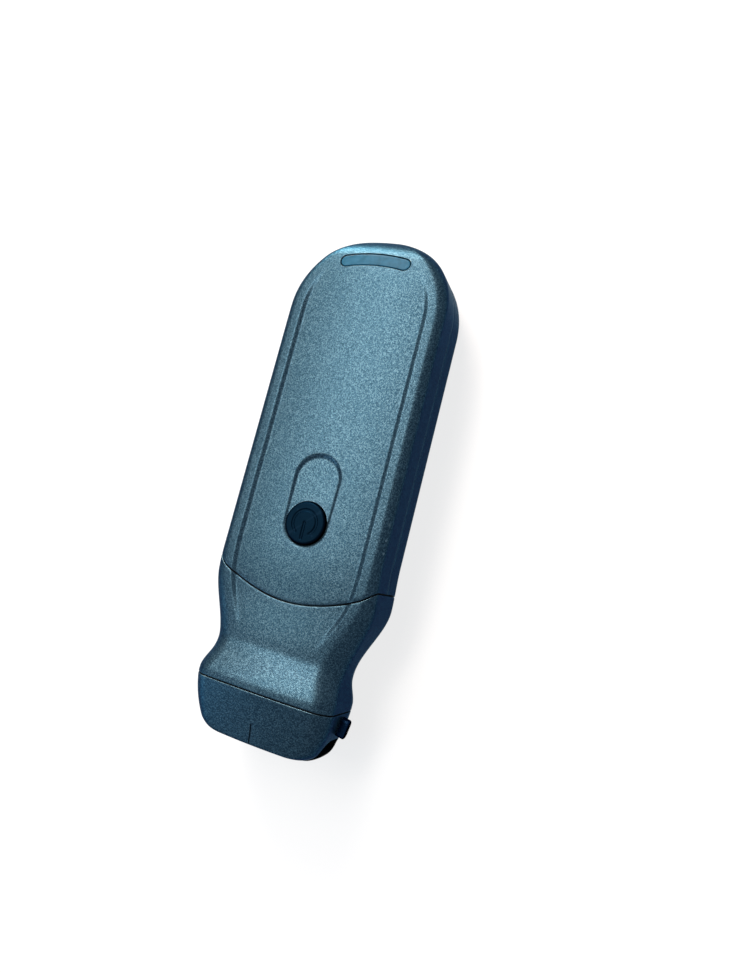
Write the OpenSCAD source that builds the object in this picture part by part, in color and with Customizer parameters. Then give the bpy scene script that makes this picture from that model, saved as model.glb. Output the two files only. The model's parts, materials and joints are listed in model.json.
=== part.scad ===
// Hand-held wireless ultrasound probe with a linear array head.
// Shapes are worked out with y from the nose rim towards the tail and z from the parting plane.
// placed() then sets the flat back on z = 0 and the middle of the length on y = 0.

/* [Grip] */
// Length of the housing from the nose rim to the tail
body_len = 159.3; // [150.7:0.2:170.7]
// Width of the grip
body_w = 52; // [48:1:58]
// Height of the front face above the parting plane
front_depth = 12; // [11.5:0.1:14]
// Depth of the flat back below the parting plane
back_depth = 13; // [12.6:0.1:16]
// Wall thickness of the housing shells
wall = 2; // [1.6:0.1:2.2]
// Radius of the long edges of the front face
front_edge_r = 2.8; // [2.4:0.1:4]
// Radius of the front face's edge at the tail
tail_edge_r = 5.5; // [3:0.5:7]
// Radius of the long edges of the back
back_edge_r = 6.5; // [5:0.5:8]
// Rise of the front face from its edges to its middle line
front_crown = 1; // [0.5:0.1:1.2]
// Length over which the tail rounds off, seen from the front
tail_plan_len = 26; // [22:1:30]
// Length over which the tail rounds off, seen from the side
tail_side_len = 9; // [7:0.5:12]
// Drop of the front face towards the tail
tail_drop = 1.6; // [1:0.1:2.2]
// Length over which the front face drops
tail_drop_len = 34; // [26:1:45]

/* [Dished front panel] */
// Depth of the dish in the front face
dish_depth = 0.75; // [0.3:0.05:0.9]
// Width of the slope between the dish and its ridge
dish_slope_w = 1.9; // [1.2:0.1:2.6]
// Width of the flat ridge between that slope and the front face's rounded edge
dish_ridge_w = 2; // [1:0.1:2.6]
// Place where the dish starts on the neck
dish_start_y = 28.7; // [24.7:1:34.7]
// Place where the dish reaches its depth
dish_full_y = 44.7; // [40.7:1:50.7]
// Distance from the tail at which the dish starts to fade
dish_fade_off = 28.6; // [25:0.2:36]
// Distance from the tail at which the dish has faded out
dish_end_off = 11.6; // [10:0.2:16]

/* [Neck and head] */
// Length of the nose cap
nose_len = 15.1; // [13:0.1:15.8]
// Width of the head at its flare
head_w = 45.2; // [44:0.2:50]
// Height of the flare above the parting plane
head_front = 14.4; // [13.4:0.1:15]
// Depth of the flare below the parting plane
head_back = 12.8; // [12:0.1:12.9]
// Place of the flare's crest
flare_y = 16.7; // [15.9:0.1:17.7]
// Width of the waist
waist_w = 42.4; // [40:0.2:45]
// Place of the narrowest width
waist_y = 23.7; // [21.7:0.5:26.7]
// Height of the throat on either side of the parting plane
throat_depth = 10.9; // [10:0.1:12]
// Place of the thinnest section
throat_y = 27.7; // [24.7:0.5:30.7]
// How far the shoulder of the neck stands out past the grip on each side
shoulder_out = 0.5; // [0:0.1:1.2]
// Place of the shoulder
shoulder_y = 46.2; // [43.7:0.5:48.7]
// Place where the grip's even section begins
grip_y = 58.7; // [54.7:1:64.7]
// Width of the nose at its rim, before its corners round off
rim_w = 35.6; // [34:0.2:38]
// Height of the nose rim above the parting plane
rim_front = 10; // [8.8:0.1:10.5]
// Depth of the nose rim below the parting plane
rim_back = 9; // [8.6:0.1:10]
// Corner radius of the nose, seen from the front
rim_corner_r = 3.2; // [2.6:0.1:4.5]
// Rounding of the nose rim's edge
rim_edge_r = 0.8; // [0.4:0.1:1.2]
// Radius of the front edges at the nose rim
rim_front_r = 4.5; // [3:0.1:6]
// Radius of the back edges at the nose rim
rim_back_r = 6.5; // [5:0.1:8]
// Radius of the front edges at the flare
head_front_r = 5.5; // [4:0.1:8]
// Radius of the back edges from the flare to the throat
head_back_r = 10; // [8:0.1:10.5]
// Radius of the front edges at the throat
throat_front_r = 6.5; // [5:0.1:9]
// Wall thickness of the nose cap
nose_wall = 1.8; // [1.4:0.1:2]
// Place of the U-shaped seam on the middle line
seam_y = 41.7; // [38.7:0.5:43.7]
// How far the seam climbs from the middle line to the sides
seam_sag = 9; // [6:0.5:10]
// Length over which the seam's curve dies out along the grip
seam_fade_len = 34; // [30:1:45]
// Length of the neck's lip inside the grip
lip_len = 3.5; // [2.5:0.1:4.5]
// Thickness of that lip
lip_t = 1.2; // [0.9:0.1:1.5]
// Length of the centre mark on the nose
mark_len = 6.5; // [4:0.5:9]
// Width of the centre mark
mark_w = 0.5; // [0.3:0.05:0.8]
// Depth of the centre mark
mark_depth = 0.35; // [0.2:0.05:0.6]

/* [Seams and fits] */
// Thickness of the gaskets in the two seams of the neck
seam_t = 0.4; // [0.3:0.05:0.7]
// Clearance between the bent gasket and the end faces on both its sides
seam_fit = 0.14; // [0.1:0.01:0.15]
// How far those gaskets stay below the outer surface
seam_recess = 0.45; // [0.3:0.05:0.8]
// Gap between the front and the rear shell
parting_gap = 0.12; // [0.08:0.02:0.3]
// Thickness of the seal band behind the parting line
seal_t = 0.8; // [0.6:0.1:1.1]
// Height of that seal band
seal_h = 3; // [2:0.5:5]
// Clearance between pieces that fit into each other
fit_gap = 0.15; // [0.1:0.05:0.25]
// Clearance between stacked inner pieces
stack_gap = 0.2; // [0.1:0.05:0.3]

/* [Orientation marker] */
// Length of the orientation marker along the head
marker_len = 5.8; // [4.6:0.2:6]
// Thickness of the orientation marker
marker_h = 3.2; // [2.4:0.2:4]
// How far the marker stands out from the side of the nose
marker_proud = 2.2; // [1:0.1:2.6]
// How far the marker is let into the side of the nose
marker_seat = 0.9; // [0.5:0.1:1.2]
// Distance from the nose seam to the marker
marker_off = 0.8; // [0.6:0.1:1]

/* [Power button] */
// Place of the button
button_y = 65.3; // [62.7:0.2:66.7]
// Radius of the button cap
button_r = 6.4; // [5.5:0.1:7]
// How far the cap stands out of the dish
button_proud = 0.8; // [0.6:0.1:1.5]
// Travel of the button
button_travel = 0.5; // [0.3:0.05:0.6]
// Running clearance between the cap and its hole
button_gap = 0.25; // [0.2:0.05:0.4]
// Rounding of the cap's edge
button_edge_r = 0.7; // [0.4:0.1:0.9]
// How far the cap's flange reaches past the cap
flange_over = 1.2; // [0.8:0.1:1.6]
// Thickness of the flange
flange_t = 1; // [0.7:0.1:1.3]
// Radius of the nub below the cap
nub_r = 1.5; // [1.2:0.1:2]
// Width of the chamfer round the button hole
hole_chamfer = 0.2; // [0.1:0.05:0.4]
// Length of the finger recess from the button towards the tail
recess_len = 20; // [16:0.5:24]
// Depth of the finger recess beside the button
recess_near = 0.35; // [0.2:0.05:0.5]
// Depth of the finger recess at its far end
recess_far = 0.75; // [0.55:0.05:0.8]
// How much wider the recess gets per unit of its depth, on each side
recess_flare = 2; // [0.5:0.1:2.5]
// Depth of the collar behind the hole and the recess
collar_t = 1.7; // [1.4:0.1:2]
// Width of the collar round the hole and the recess
collar_w = 3.2; // [2.8:0.1:4]
// Width of the seal ring round the flange
button_seal_w = 1.5; // [1:0.1:2]
// Side of the square switch body
switch_side = 6; // [4.5:0.1:7]
// Height of the switch body
switch_h = 3.2; // [2.5:0.1:3.4]
// Radius of the switch plunger
plunger_r = 1.6; // [1.2:0.1:2]
// How far the plunger stands out of the switch
plunger_out = 1.7; // [1.4:0.1:1.8]
// Depth to which the plunger sits in the switch
plunger_seat = 1; // [0.7:0.1:1.5]

/* [Indicator window] */
// Distance of the window's middle from the tail
window_off = 9.8; // [9:0.1:11]
// Distance from the centres of the window's round ends to the wall
window_side_gap = 8.5; // [7.5:0.1:10]
// Half the height of the window
window_r = 2; // [1.5:0.1:2.4]
// How far the window's ends droop below its middle
window_droop = 0.9; // [0.3:0.1:1.5]
// How far the window's face lies below the housing
window_recess = 0.12; // [0.05:0.01:0.3]
// Width of the window's flange behind the wall
window_flange_w = 0.8; // [0.5:0.1:0.9]
// Thickness of that flange
window_flange_t = 0.6; // [0.4:0.1:0.8]
// Gap between the window's flange and the posts of its board
ind_post_gap = 0.3; // [0.2:0.1:0.6]
// Length of the indicator board
ind_board_len = 5; // [4:0.5:5.5]
// Thickness of the indicator board
ind_board_t = 0.8; // [0.6:0.1:1]
// Number of lamps behind the window
led_count = 5; // [3:1:7]
// Side of a lamp
led_side = 2; // [1.2:0.1:2.4]
// Height of a lamp
led_h = 0.7; // [0.4:0.1:0.8]
// Radius of the two posts that hold the indicator board
ind_post_r = 1.1; // [0.9:0.1:1.2]

/* [Array head] */
// How far the lens stands out of the nose
lens_proud = 0.6; // [0.4:0.1:1]
// Height of the lens across the nose
lens_h = 10.4; // [9:0.2:11]
// How far the lens wraps round the nose's corners, from the rim
lens_wrap = 7; // [6:0.1:7.4]
// Radius of the lens's corners on the sides of the nose
lens_corner_r = 3; // [2:0.1:4]
// Depth of the lens behind the rim
lens_depth = 2.4; // [2:0.1:3]
// Width of the acoustic stack
stack_w = 26; // [22:0.5:27]
// Height of the acoustic stack
stack_h = 10; // [8:0.5:11]
// Thickness of the matching layers
matching_t = 0.6; // [0.3:0.05:0.8]
// Thickness of the crystal row
piezo_t = 0.6; // [0.3:0.05:0.8]
// Number of crystal bars in the row
piezo_count = 32; // [16:1:48]
// Width of the cut between two bars
kerf = 0.12; // [0.08:0.01:0.2]
// Depth of the backing block
backing_t = 6; // [4:0.5:7]
// Wall of the carrier round the stack
carrier_wall = 1.6; // [1.2:0.1:1.8]
// Depth of the carrier from the lens to its back
carrier_len = 10.8; // [9.5:0.1:11]
// Width that the carrier's flange adds on each side
carrier_flange_w = 2.4; // [1.5:0.1:2.8]
// Thickness of that flange
carrier_flange_t = 1.2; // [0.8:0.1:1.6]
// Corner radius of the carrier
carrier_r = 3; // [2.5:0.5:4]
// How far the flexible circuit stays inside the stack's width on each side
flex_inset = 1; // [0.5:0.1:4]
// Thickness of the flexible circuit
flex_t = 0.3; // [0.2:0.05:0.5]

/* [Power and charging] */
// Distance between the battery and the side wall
battery_side_gap = 5; // [5:0.1:7]
// Place of the battery's end by the neck
battery_start_y = 67.7; // [66:0.1:72]
// Thickness of the battery
battery_t = 6.8; // [5.5:0.1:7]
// Distance from the tail to the battery's other end
battery_end_off = 29.6; // [28:0.1:36]
// How far the charging coil stays inside the ferrite sheet's edge
coil_edge = 1; // [0.5:0.1:3]
// Inner radius of the charging coil
coil_bore_r = 9; // [6:0.5:12]
// Thickness of the charging coil
coil_t = 0.8; // [0.5:0.1:1]
// How far the ferrite sheet reaches past the battery's sides
ferrite_over = 1; // [0:0.1:1]
// Thickness of the ferrite sheet
ferrite_t = 0.5; // [0.3:0.1:0.7]

/* [Frame and boards] */
// Thickness of the inner frame's plate
frame_t = 1.2; // [1:0.1:1.5]
// Thickness of the frame's battery rails
rail_t = 1.2; // [0.9:0.1:1.3]
// Width of the frame's slots for lead-through
frame_slot_w = 14; // [8:1:18]
// Height of the standoffs between the frame and the main board
standoff_h = 1.6; // [1:0.1:2]
// Radius of a standoff
standoff_r = 1.9; // [1.7:0.1:2.2]
// Distance between the main board and the side wall
board_side_gap = 2.8; // [2.4:0.1:3.4]
// Thickness of the main board
board_t = 1; // [0.8:0.1:1.2]
// Place of the board's end by the neck
board_start_y = 50.7; // [48.7:0.5:51.7]
// Distance of the board's other end from the tail
board_end_off = 11.6; // [11:0.1:13]
// Chamfer of the board's corners by the tail
board_chamfer = 6; // [5:0.5:8]
// Distance of the board screws from the board's sides
board_screw_inset = 2.4; // [2.2:0.1:2.8]
// Distance from the board's end by the neck to the first front-end chips
fe_chip_off = 16; // [14:0.2:17]
// Side of a front-end chip
fe_chip_side = 8; // [6:0.5:8]
// Thickness of the chips
chip_t = 1.4; // [0.9:0.1:1.5]
// Distance of the front-end chips from the board's sides
fe_chip_inset = 4.6; // [4.4:0.1:7]
// Side of the processor
cpu_side = 15; // [12:0.5:16]
// Size of a memory chip across the board
mem_w = 7; // [5:0.5:8]
// Size of a memory chip along the board
mem_len = 12; // [9:0.5:13]
// Gap between the processor and the memory chips
mem_gap = 2.2; // [1.8:0.1:3]
// Thickness of the thermal pad
pad_t = 0.4; // [0.2:0.05:0.6]
// Thickness of the heat spreader
spreader_t = 1; // [0.8:0.1:1.5]
// Distance of the heat spreader from the board's sides
spreader_inset = 2.2; // [1.8:0.1:3]
// Length of the heat spreader
spreader_len = 24; // [20:0.5:28]
// Radius of the spreader's feet
spreader_foot_r = 1.1; // [0.8:0.1:1.3]
// Width of the radio shield
shield_w = 16; // [12:0.5:18]
// Length of the radio shield
shield_len = 12; // [10:0.5:13]
// Height of the radio shield
shield_h = 2.6; // [2:0.1:3]
// Sheet thickness of the radio shield
shield_t = 0.3; // [0.2:0.05:0.4]
// Distance of the radio shield's middle from the board's end
shield_off = 13; // [12.5:0.1:15]
// Width of the antenna
antenna_w = 18; // [12:0.5:20]
// Length of the antenna along the board
antenna_len = 3; // [2:0.5:4]
// Height of the antenna
antenna_h = 2.4; // [1.5:0.1:3]
// Distance of the antenna from the board's end
antenna_off = 1; // [0.5:0.1:2]
// How far the array connector reaches past the flexible circuit on each side
conn_over = 1; // [0.5:0.1:2]
// Length of a connector along the board
conn_len = 4; // [3:0.5:4]
// Height of the connectors
conn_h = 2; // [1.5:0.1:2.5]
// Width of the battery connector
batt_conn_w = 7; // [5:0.5:8]

/* [Screws] */
// Distance of the shell screws from the grip's sides
screw_inset = 7.7; // [7.6:0.1:7.9]
// Distance from the U-shaped seam to the shell screws by the neck
screw_head_off = 16.6; // [16.4:0.1:17.2]
// Distance from the tail to the shell screws there
screw_tail_off = 20.6; // [20.1:0.1:21.1]
// Radius of the screw bosses
boss_r = 3; // [2.8:0.1:3]
// Radius of the screws' shanks
screw_r = 1; // [0.8:0.05:1.2]
// Radius of the screws' heads
screw_head_r = 1.8; // [1.6:0.05:1.9]
// Height of the screws' heads
screw_head_h = 1.3; // [1:0.1:1.6]
// Depth of the drive recess in the heads
drive_depth = 0.6; // [0.4:0.1:0.8]
// Size of the drive recess across its flats
drive_w = 1.4; // [1:0.1:1.6]
// Thickness of material between the rear boss face and the screw head
screw_land = 4; // [3:0.1:5]
// Length of thread in the front bosses
screw_bite = 4.5; // [3:0.1:6]
// Length of the board screws' shanks below the board
board_screw_bite = 1.2; // [0.8:0.1:1.5]
// Radius of the plugs that cover the shell screws
plug_r = 2; // [1.9:0.05:2.2]
// Thickness of those plugs
plug_t = 2; // [1.5:0.1:3]
// How far the plugs stay below the back
plug_recess = 0.1; // [0.05:0.05:0.3]

/* [Hidden] */
$fn = 48;

// Overrun of a cut past the face that it opens
over = 1;
// Thickness of the slices that hulls are drawn between
sliver = 0.01;
// Powers of the rounded tail, seen from the front and from the side
plan_power = 2.1;
side_power = 2.2;
// Smallest share of a corner radius that an inset section keeps
least_r_share = 0.2;
// Largest share of a section's half size that a corner radius may take
most_r_share = 0.92;
// Largest share of the flat between the corners that the dish's slope and ridge may take
most_slope_share = 0.4;
// Width of the slope and the ridge together, and the ridge's share of it
dish_band_w = dish_slope_w + dish_ridge_w;
ridge_share = dish_ridge_w / dish_band_w;

// Places along the grip that follow from its length and its seam
dish_fade_y = body_len - dish_fade_off;
dish_end_y = body_len - dish_end_off;
window_y = body_len - window_off;
screw_x = body_w / 2 - screw_inset;
screw_head_y = seam_y + screw_head_off;
screw_tail_y = body_len - screw_tail_off;

// Places and values of the outline's crests and hollows, joined by eased curves
width_track = [
    [flare_y, head_w / 2], [waist_y, waist_w / 2], [shoulder_y, body_w / 2 + shoulder_out], [grip_y, body_w / 2]
];
front_track = [[flare_y, head_front], [throat_y, throat_depth], [grip_y, front_depth]];
back_track = [[flare_y, head_back], [throat_y, throat_depth], [shoulder_y, back_depth]];
front_r_track = [
    [0, rim_front_r], [nose_len, head_front_r], [throat_y, throat_front_r],
    [grip_y, front_edge_r], [dish_fade_y, front_edge_r], [body_len, tail_edge_r]
];
back_r_track = [[0, rim_back_r], [nose_len, head_back_r], [throat_y, head_back_r], [shoulder_y, back_edge_r]];

// Sizes and places of the boards and of what they carry
board_w = body_w - 2 * (wall + board_side_gap);
board_end_y = body_len - board_end_off;
first_chip_y = board_start_y + fe_chip_off;
shield_y = board_end_y - shield_off;
// Places between the first chips and the radio shield, as shares of their distance
chip_row_share = 0.235;
batt_conn_share = 0.1;
cpu_share = 0.54;
board_screw_shares = [0.11, 0.9];
function board_place(share) = first_chip_y + share * (shield_y - first_chip_y);
fe_chip_x = board_w / 2 - fe_chip_inset - fe_chip_side / 2;
fe_chip_ys = [first_chip_y, board_place(chip_row_share)];
cpu_y = board_place(cpu_share);
mem_x = (cpu_side + mem_w) / 2 + mem_gap;
spreader_w = board_w - 2 * spreader_inset;
flex_w = stack_w - 2 * flex_inset;
conn_w = flex_w + 2 * conn_over;
window_reach = half_w(window_y, wall) - window_side_gap;
ind_board_w = 2 * (window_reach + window_r + window_flange_w + ind_post_gap + 2 * ind_post_r);
battery_w = body_w - 2 * (wall + battery_side_gap);
battery_len = body_len - battery_end_off - battery_start_y;
battery_y = battery_start_y + battery_len / 2;
ferrite_side = battery_w + 2 * ferrite_over;
coil_r = ferrite_side / 2 - coil_edge;

// Levels of the inner stack, from the back wall up to the switch
back_inner_z = -(back_depth - wall);
coil_z = back_inner_z + stack_gap;
ferrite_z = coil_z + coil_t + stack_gap / 2;
battery_z = ferrite_z + ferrite_t + stack_gap;
frame_z = battery_z + battery_t + stack_gap;
board_z = frame_z + frame_t + standoff_h;
board_top = board_z + board_t;
spreader_z = board_top + chip_t + pad_t;
flange_top = front_depth - wall - collar_t - stack_gap / 2;
nub_z = board_top + switch_h + plunger_out + stack_gap / 2;
origin_y = (body_len - lens_proud) / 2;
screw_places = [for (x = [-screw_x, screw_x], y = [screw_head_y, screw_tail_y]) [x, y]];
board_screw_x = board_w / 2 - board_screw_inset;
board_screw_places = [for (x = [-board_screw_x, board_screw_x], u = board_screw_shares) [x, board_place(u)]];
screw_head_z = frame_z - screw_land - screw_head_h;

// Distance of the array connector from the board's edge
board_edge_gap = 1;
// Radius of the button hole
hole_r = button_r + button_gap;
// How far the window's flange lies below the wall's inner face on the middle line
window_flange_drop = 0.7;
indicator_z = front_h(window_y, wall) - window_flange_drop - window_flange_t - led_h - stack_gap - ind_board_t;
// Folded strip at the battery's neck end
battery_strip = 3;

// Shares of the grip's length at which its sections are taken, between the seam and the tail
grip_shares = [0, 0.03, 0.07, 0.12, 0.19, 0.32, 0.5, 0.7, 0.86, 0.94];
tail_steps = 12;
grip_rows = [for (u = grip_shares) seam_y + seam_t / 2 + u * (body_len - tail_plan_len - seam_y)];
tail_rows = [for (i = [0:tail_steps - 1]) body_len - tail_plan_len * (1 - sin(90 * i / tail_steps))];
shell_rows = concat(grip_rows, tail_rows);
// Places of the neck's sections, closer together at the nose
neck_steps = 12;
neck_power = 1.2;
neck_rows = [for (i = [0:neck_steps])
    nose_len + seam_t / 2 + (seam_y - nose_len - seam_t) * pow(i / neck_steps, neck_power)];
// Places of the nose's sections: round its corner, then along it
nose_angles = [0, 8, 16, 26, 38, 52, 70, 90];
nose_shares = [0.25, 0.6, 1];
nose_end = nose_len - seam_t / 2;
nose_rows = concat(
    [for (w = nose_angles) rim_corner_r * (1 - cos(w))],
    [for (u = nose_shares) rim_corner_r + u * (nose_end - rim_corner_r)]
);
nose_inner_steps = 4;
nose_inner_rows = [for (i = [nose_inner_steps:-1:0])
    nose_wall + (rim_corner_r - nose_wall) * (1 - cos(90 * i / nose_inner_steps))];
// Levels of the lens's outlines, as shares of half its height
lens_levels = [-1, -0.92, -0.75, -0.45, 0, 0.45, 0.75, 0.92, 1];
lens_angles = [0, 15, 30, 45, 60, 75, 90];
lens_wrap_shares = [0.35, 0.7, 1];

paint = [0.20, 0.31, 0.38];
dark_rubber = [0.05, 0.06, 0.07];

module placed() {
    translate([0, -origin_y, back_depth]) children();
}

// Laws of the outer form

// Smooth step from 0 to 1, level at both ends
function ease(u) = let (c = min(1, max(0, u))) c * c * (3 - 2 * c);

// Curve through the crests and hollows of a track
function eased(track, y) = track[0][1] + sum_of([
    for (i = [1:len(track) - 1])
        (track[i][1] - track[i - 1][1]) * ease((y - track[i - 1][0]) / (track[i][0] - track[i - 1][0]))
]);
function sum_of(values) = [for (v = values) 1] * values;

// Share of the size that is left where an end rounds off
function end_share(y, end_y, len, power) =
    let (u = min(1, max(0, (y - end_y + len) / len))) pow(1 - pow(u, power), 1 / power);

// Loss of size at the nose rim, where an edge of radius r rounds off, inset by e
function rim_loss(y, r, e) =
    let (q = r - e, c = q > 0 ? max(0, min(1, (r - y) / q)) : 0) max(0, q) * (1 - sqrt(1 - c * c));

function nose_share(y) = max(0, 1 - max(0, y) / nose_len);

// Half the width at y, inset by e
function half_w(y, e) =
    (eased(width_track, y) - (head_w - rim_w) / 2 * pow(nose_share(y), 2) - rim_loss(y, rim_corner_r, e) - e)
    * end_share(y, body_len - e, tail_plan_len - e, plan_power);

// Fall of the front face towards the tail
function tail_fall(y) = tail_drop * pow(max(0, (y - body_len + tail_drop_len) / tail_drop_len), 2);

// Height of the front and depth of the back at y, inset by e
function front_h(y, e) =
    (eased(front_track, y) - (head_front - rim_front) * nose_share(y) - rim_loss(y, rim_edge_r, e)
        - tail_fall(y) - e) * end_share(y, body_len - e, tail_side_len - e, side_power);
function back_h(y, e) =
    (eased(back_track, y) - (head_back - rim_back) * nose_share(y) - rim_loss(y, rim_edge_r, e) - e)
    * end_share(y, body_len - e, tail_side_len - e, side_power);

// Edge radius of a section, inset by e, that still fits its half width a and height h
function edge_r(track, y, e, a, h) =
    let (r = eased(track, y)) min(max(r - e, r * least_r_share), most_r_share * min(a, h));

// Depth of the dish at y, as a share of its full depth
function dish_share(y) =
    ease((y - dish_start_y) / (dish_full_y - dish_start_y))
    * (1 - ease((y - dish_fade_y) / (dish_end_y - dish_fade_y)));

// How far the seam's curve carries on at y, as a share of its sag
function sag_share(y) = y < seam_y
    ? ease((y - waist_y) / (seam_y - waist_y))
    : 1 - ease((y - seam_y) / seam_fade_len);

// A column is a place round a section: its shares of the flat, of the dish's slope and ridge and
// of the edge radius across, and of the side wall and of the edge radius upwards.
arc_steps = 8;
flat_steps = 6;
flat_shares = [for (i = [flat_steps - 1:-1:0]) i / flat_steps];
side_column = [1, 1, 1, 0, 0];
arc_columns = [for (i = [0:arc_steps]) let (w = 90 * i / arc_steps) [1, 1, cos(w), 1, sin(w)]];
slope_columns = [for (i = [3:-1:0]) [1, i / 3 * (1 - ridge_share), 0, 1, 1]];
flat_columns = [for (s = flat_shares) [s, 0, 0, 1, 1]];
front_columns = concat([side_column], arc_columns, slope_columns, flat_columns);
back_columns = concat([side_column], arc_columns, flat_columns);

// Point of the front (up = 1) or back (up = -1) surface at column c, on side s of the middle line
function surface_point(c, s, up, y, e) =
    let (
        a = half_w(y, e),
        h = up > 0 ? front_h(y, e) : back_h(y, e),
        r = edge_r(up > 0 ? front_r_track : back_r_track, y, e, a, h),
        band = min(dish_band_w, most_slope_share * (a - r)),
        ridge = ridge_share * band,
        x = c[0] * (a - r - band) + c[1] * band + c[2] * r,
        z = c[3] * (h - r) + c[4] * r,
        crown = up > 0 ? front_crown * pow(x / a, 2) * z / h : 0,
        dish = up > 0 && e < wall ? dish_depth * dish_share(y) * ease((a - r - ridge - x) / (band - ridge)) : 0
    )
    [s * x, y, up * max(parting_gap / 2, z - crown - dish)];

// The same point with y shifted so that the sections near the seam follow its curve
function bent_point(c, s, up, y, e) =
    let (
        straight = surface_point(c, s, up, y, 0),
        shift = seam_sag * sag_share(y) * pow(straight[0] / half_w(y, 0), 2)
    )
    surface_point(c, s, up, y + shift, e);

// Half section from the +x side to the -x side over the front, or back again under the back
function half_section(columns, up, y, e) =
    let (n = len(columns))
    concat(
        [for (i = [0:n - 1]) bent_point(columns[i], up, up, y, e)],
        [for (i = [n - 1:-1:0]) if (columns[i][0] != 0) bent_point(columns[i], -up, up, y, e)]
    );
function full_section(y, e) =
    concat(half_section(front_columns, 1, y, e), half_section(back_columns, -1, y, e));

// Two triangles between rows i and k at places j and l, counted in loops of n points
function cell(i, k, j, l, n) = [
    [i * n + j, k * n + l, k * n + j],
    [i * n + j, i * n + l, k * n + l]
];

// Closed band through a loop of loops, such as a sleeve with a wall
module ring_loft(loops) {
    n = len(loops[0]);
    m = len(loops);
    polyhedron(
        points = [for (loop = loops) each loop],
        faces = [for (i = [0:m - 1], j = [0:n - 1]) each cell(i, (i + 1) % m, j, (j + 1) % n, n)]
    );
}

// Closed plug through a row of loops, capped at both ends
module plug_loft(loops) {
    n = len(loops[0]);
    m = len(loops);
    polyhedron(
        points = [for (loop = loops) each loop],
        faces = concat(
            [for (i = [0:m - 2], j = [0:n - 1]) each cell(i, i + 1, j, (j + 1) % n, n)],
            [[for (j = [n - 1:-1:0]) j], [for (j = [0:n - 1]) (m - 1) * n + j]]
        )
    );
}

// Half shell of the given wall, open at the seam and closed at the tail
module half_shell(columns, up) {
    end_y = body_len;
    inner_scale = (tail_plan_len - wall) / tail_plan_len;
    first_y = body_len - tail_plan_len;
    function inner_y(y) = y < first_y ? y : first_y + (y - first_y) * inner_scale;
    loops = [
        for (y = shell_rows)
            let (
                outside = half_section(columns, up, y, 0),
                inside = half_section(columns, up, inner_y(y), wall),
                n = len(outside)
            )
            concat(outside, [for (j = [n - 1:-1:0]) inside[j]])
    ];
    n = len(loops[0]);
    m = len(loops);
    h = n / 2;
    last = (m - 1) * n;
    outer_pole = m * n;
    inner_pole = outer_pole + 1;
    pole_z = up * parting_gap / 2;
    polyhedron(
        points = concat([for (loop = loops) each loop], [[0, end_y, pole_z], [0, end_y - wall, pole_z]]),
        faces = concat(
            [for (i = [0:m - 2], j = [0:n - 1]) each cell(i, i + 1, j, (j + 1) % n, n)],
            [for (j = [0:h - 2]) each [[j, n - 2 - j, j + 1], [j, n - 1 - j, n - 2 - j]]],
            [for (j = [0:h - 2]) [last + j, last + j + 1, outer_pole]],
            [for (j = [h:n - 2]) [last + j, last + j + 1, inner_pole]],
            [[last + n - 1, last, inner_pole], [last, outer_pole, inner_pole]],
            [[last + h - 1, inner_pole, outer_pole], [last + h - 1, last + h, inner_pole]]
        )
    );
}

// Plain 2D and 3D forms that several sub-parts share

// Plate of width w and length len with corner radius r, centred in x and y, from z = 0 up
module plate(w, len, h, r) {
    linear_extrude(h) {
        square([w - 2 * r, len], center = true);
        square([w, len - 2 * r], center = true);
        for (x = [-1, 1], y = [-1, 1])
            translate([x * (w / 2 - r), y * (len / 2 - r)]) circle(r);
    }
}

// Slot of height h that runs from below x = 0 to x = len, with its far corners rounded
module open_slot(len, h, r) {
    translate([-over, -h / 2]) square([len - r + over, h]);
    translate([-over, r - h / 2]) square([len + over, h - 2 * r]);
    for (y = [-1, 1])
        translate([len - r, y * (h / 2 - r)]) circle(r);
}

// The same plate standing up in y, centred in x and z
module plate_y(w, h, len, r) {
    translate([0, len, 0]) rotate([90, 0, 0]) plate(w, h, len, r);
}

// Rectangular bar standing up in y, centred in x and z
module bar_y(w, h, len) {
    translate([-w / 2, 0, -h / 2]) cube([w, len, h]);
}

// Box centred in x and y at a place, from level z up
module chip(x, y, z, w, len, h) {
    translate([x - w / 2, y - len / 2, z]) cube([w, len, h]);
}

// Stadium from y = 0 to y = len with radius r
module stadium(len, r) {
    circle(r);
    translate([0, len]) circle(r);
    translate([-r, 0]) square([2 * r, len]);
}

// Stadium that widens by flare per unit of height
module flared_stadium(len, r, h, flare) {
    hull() {
        for (z = [0, h])
            translate([0, 0, z]) linear_extrude(sliver) stadium(len, r + flare * z);
    }
}

// Window outline: an arc of half height r with round ends, as one ring of points
module window_outline(r) {
    bend_r = (pow(window_reach, 2) + pow(window_droop, 2)) / (2 * window_droop);
    half_angle = asin(window_reach / bend_r);
    steps = 8;
    // Point at angle a along the arc, turned by w round the arc's middle line
    function outline_point(a, w) =
        let (out = bend_r + r * cos(w), along = r * sin(w))
        [out * sin(a) + along * cos(a), out * cos(a) - along * sin(a) - bend_r];
    translate([0, window_y]) polygon(concat(
        [for (i = [-steps:steps]) outline_point(half_angle * i / steps, 0)],
        [for (i = [1:steps - 1]) outline_point(half_angle, 180 * i / steps)],
        [for (i = [steps:-1:-steps]) outline_point(half_angle * i / steps, 180)],
        [for (i = [1:steps - 1]) outline_point(-half_angle, 180 + 180 * i / steps)]
    ));
}

// Screw with its head down at level z and its shank upwards
module screw(z, shank) {
    difference() {
        union() {
            translate([0, 0, z]) cylinder(h = screw_head_h, r = screw_head_r);
            translate([0, 0, z]) cylinder(h = screw_head_h + shank, r = screw_r);
        }
        translate([0, 0, z - over]) cylinder(h = drive_depth + over, d = drive_w / cos(30), $fn = 6);
    }
}

// Height of the dished front face on the middle line at y
function face_z(y) = surface_point(flat_columns[len(flat_columns) - 1], 1, 1, y, 0)[2];

// Outer housing

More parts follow.
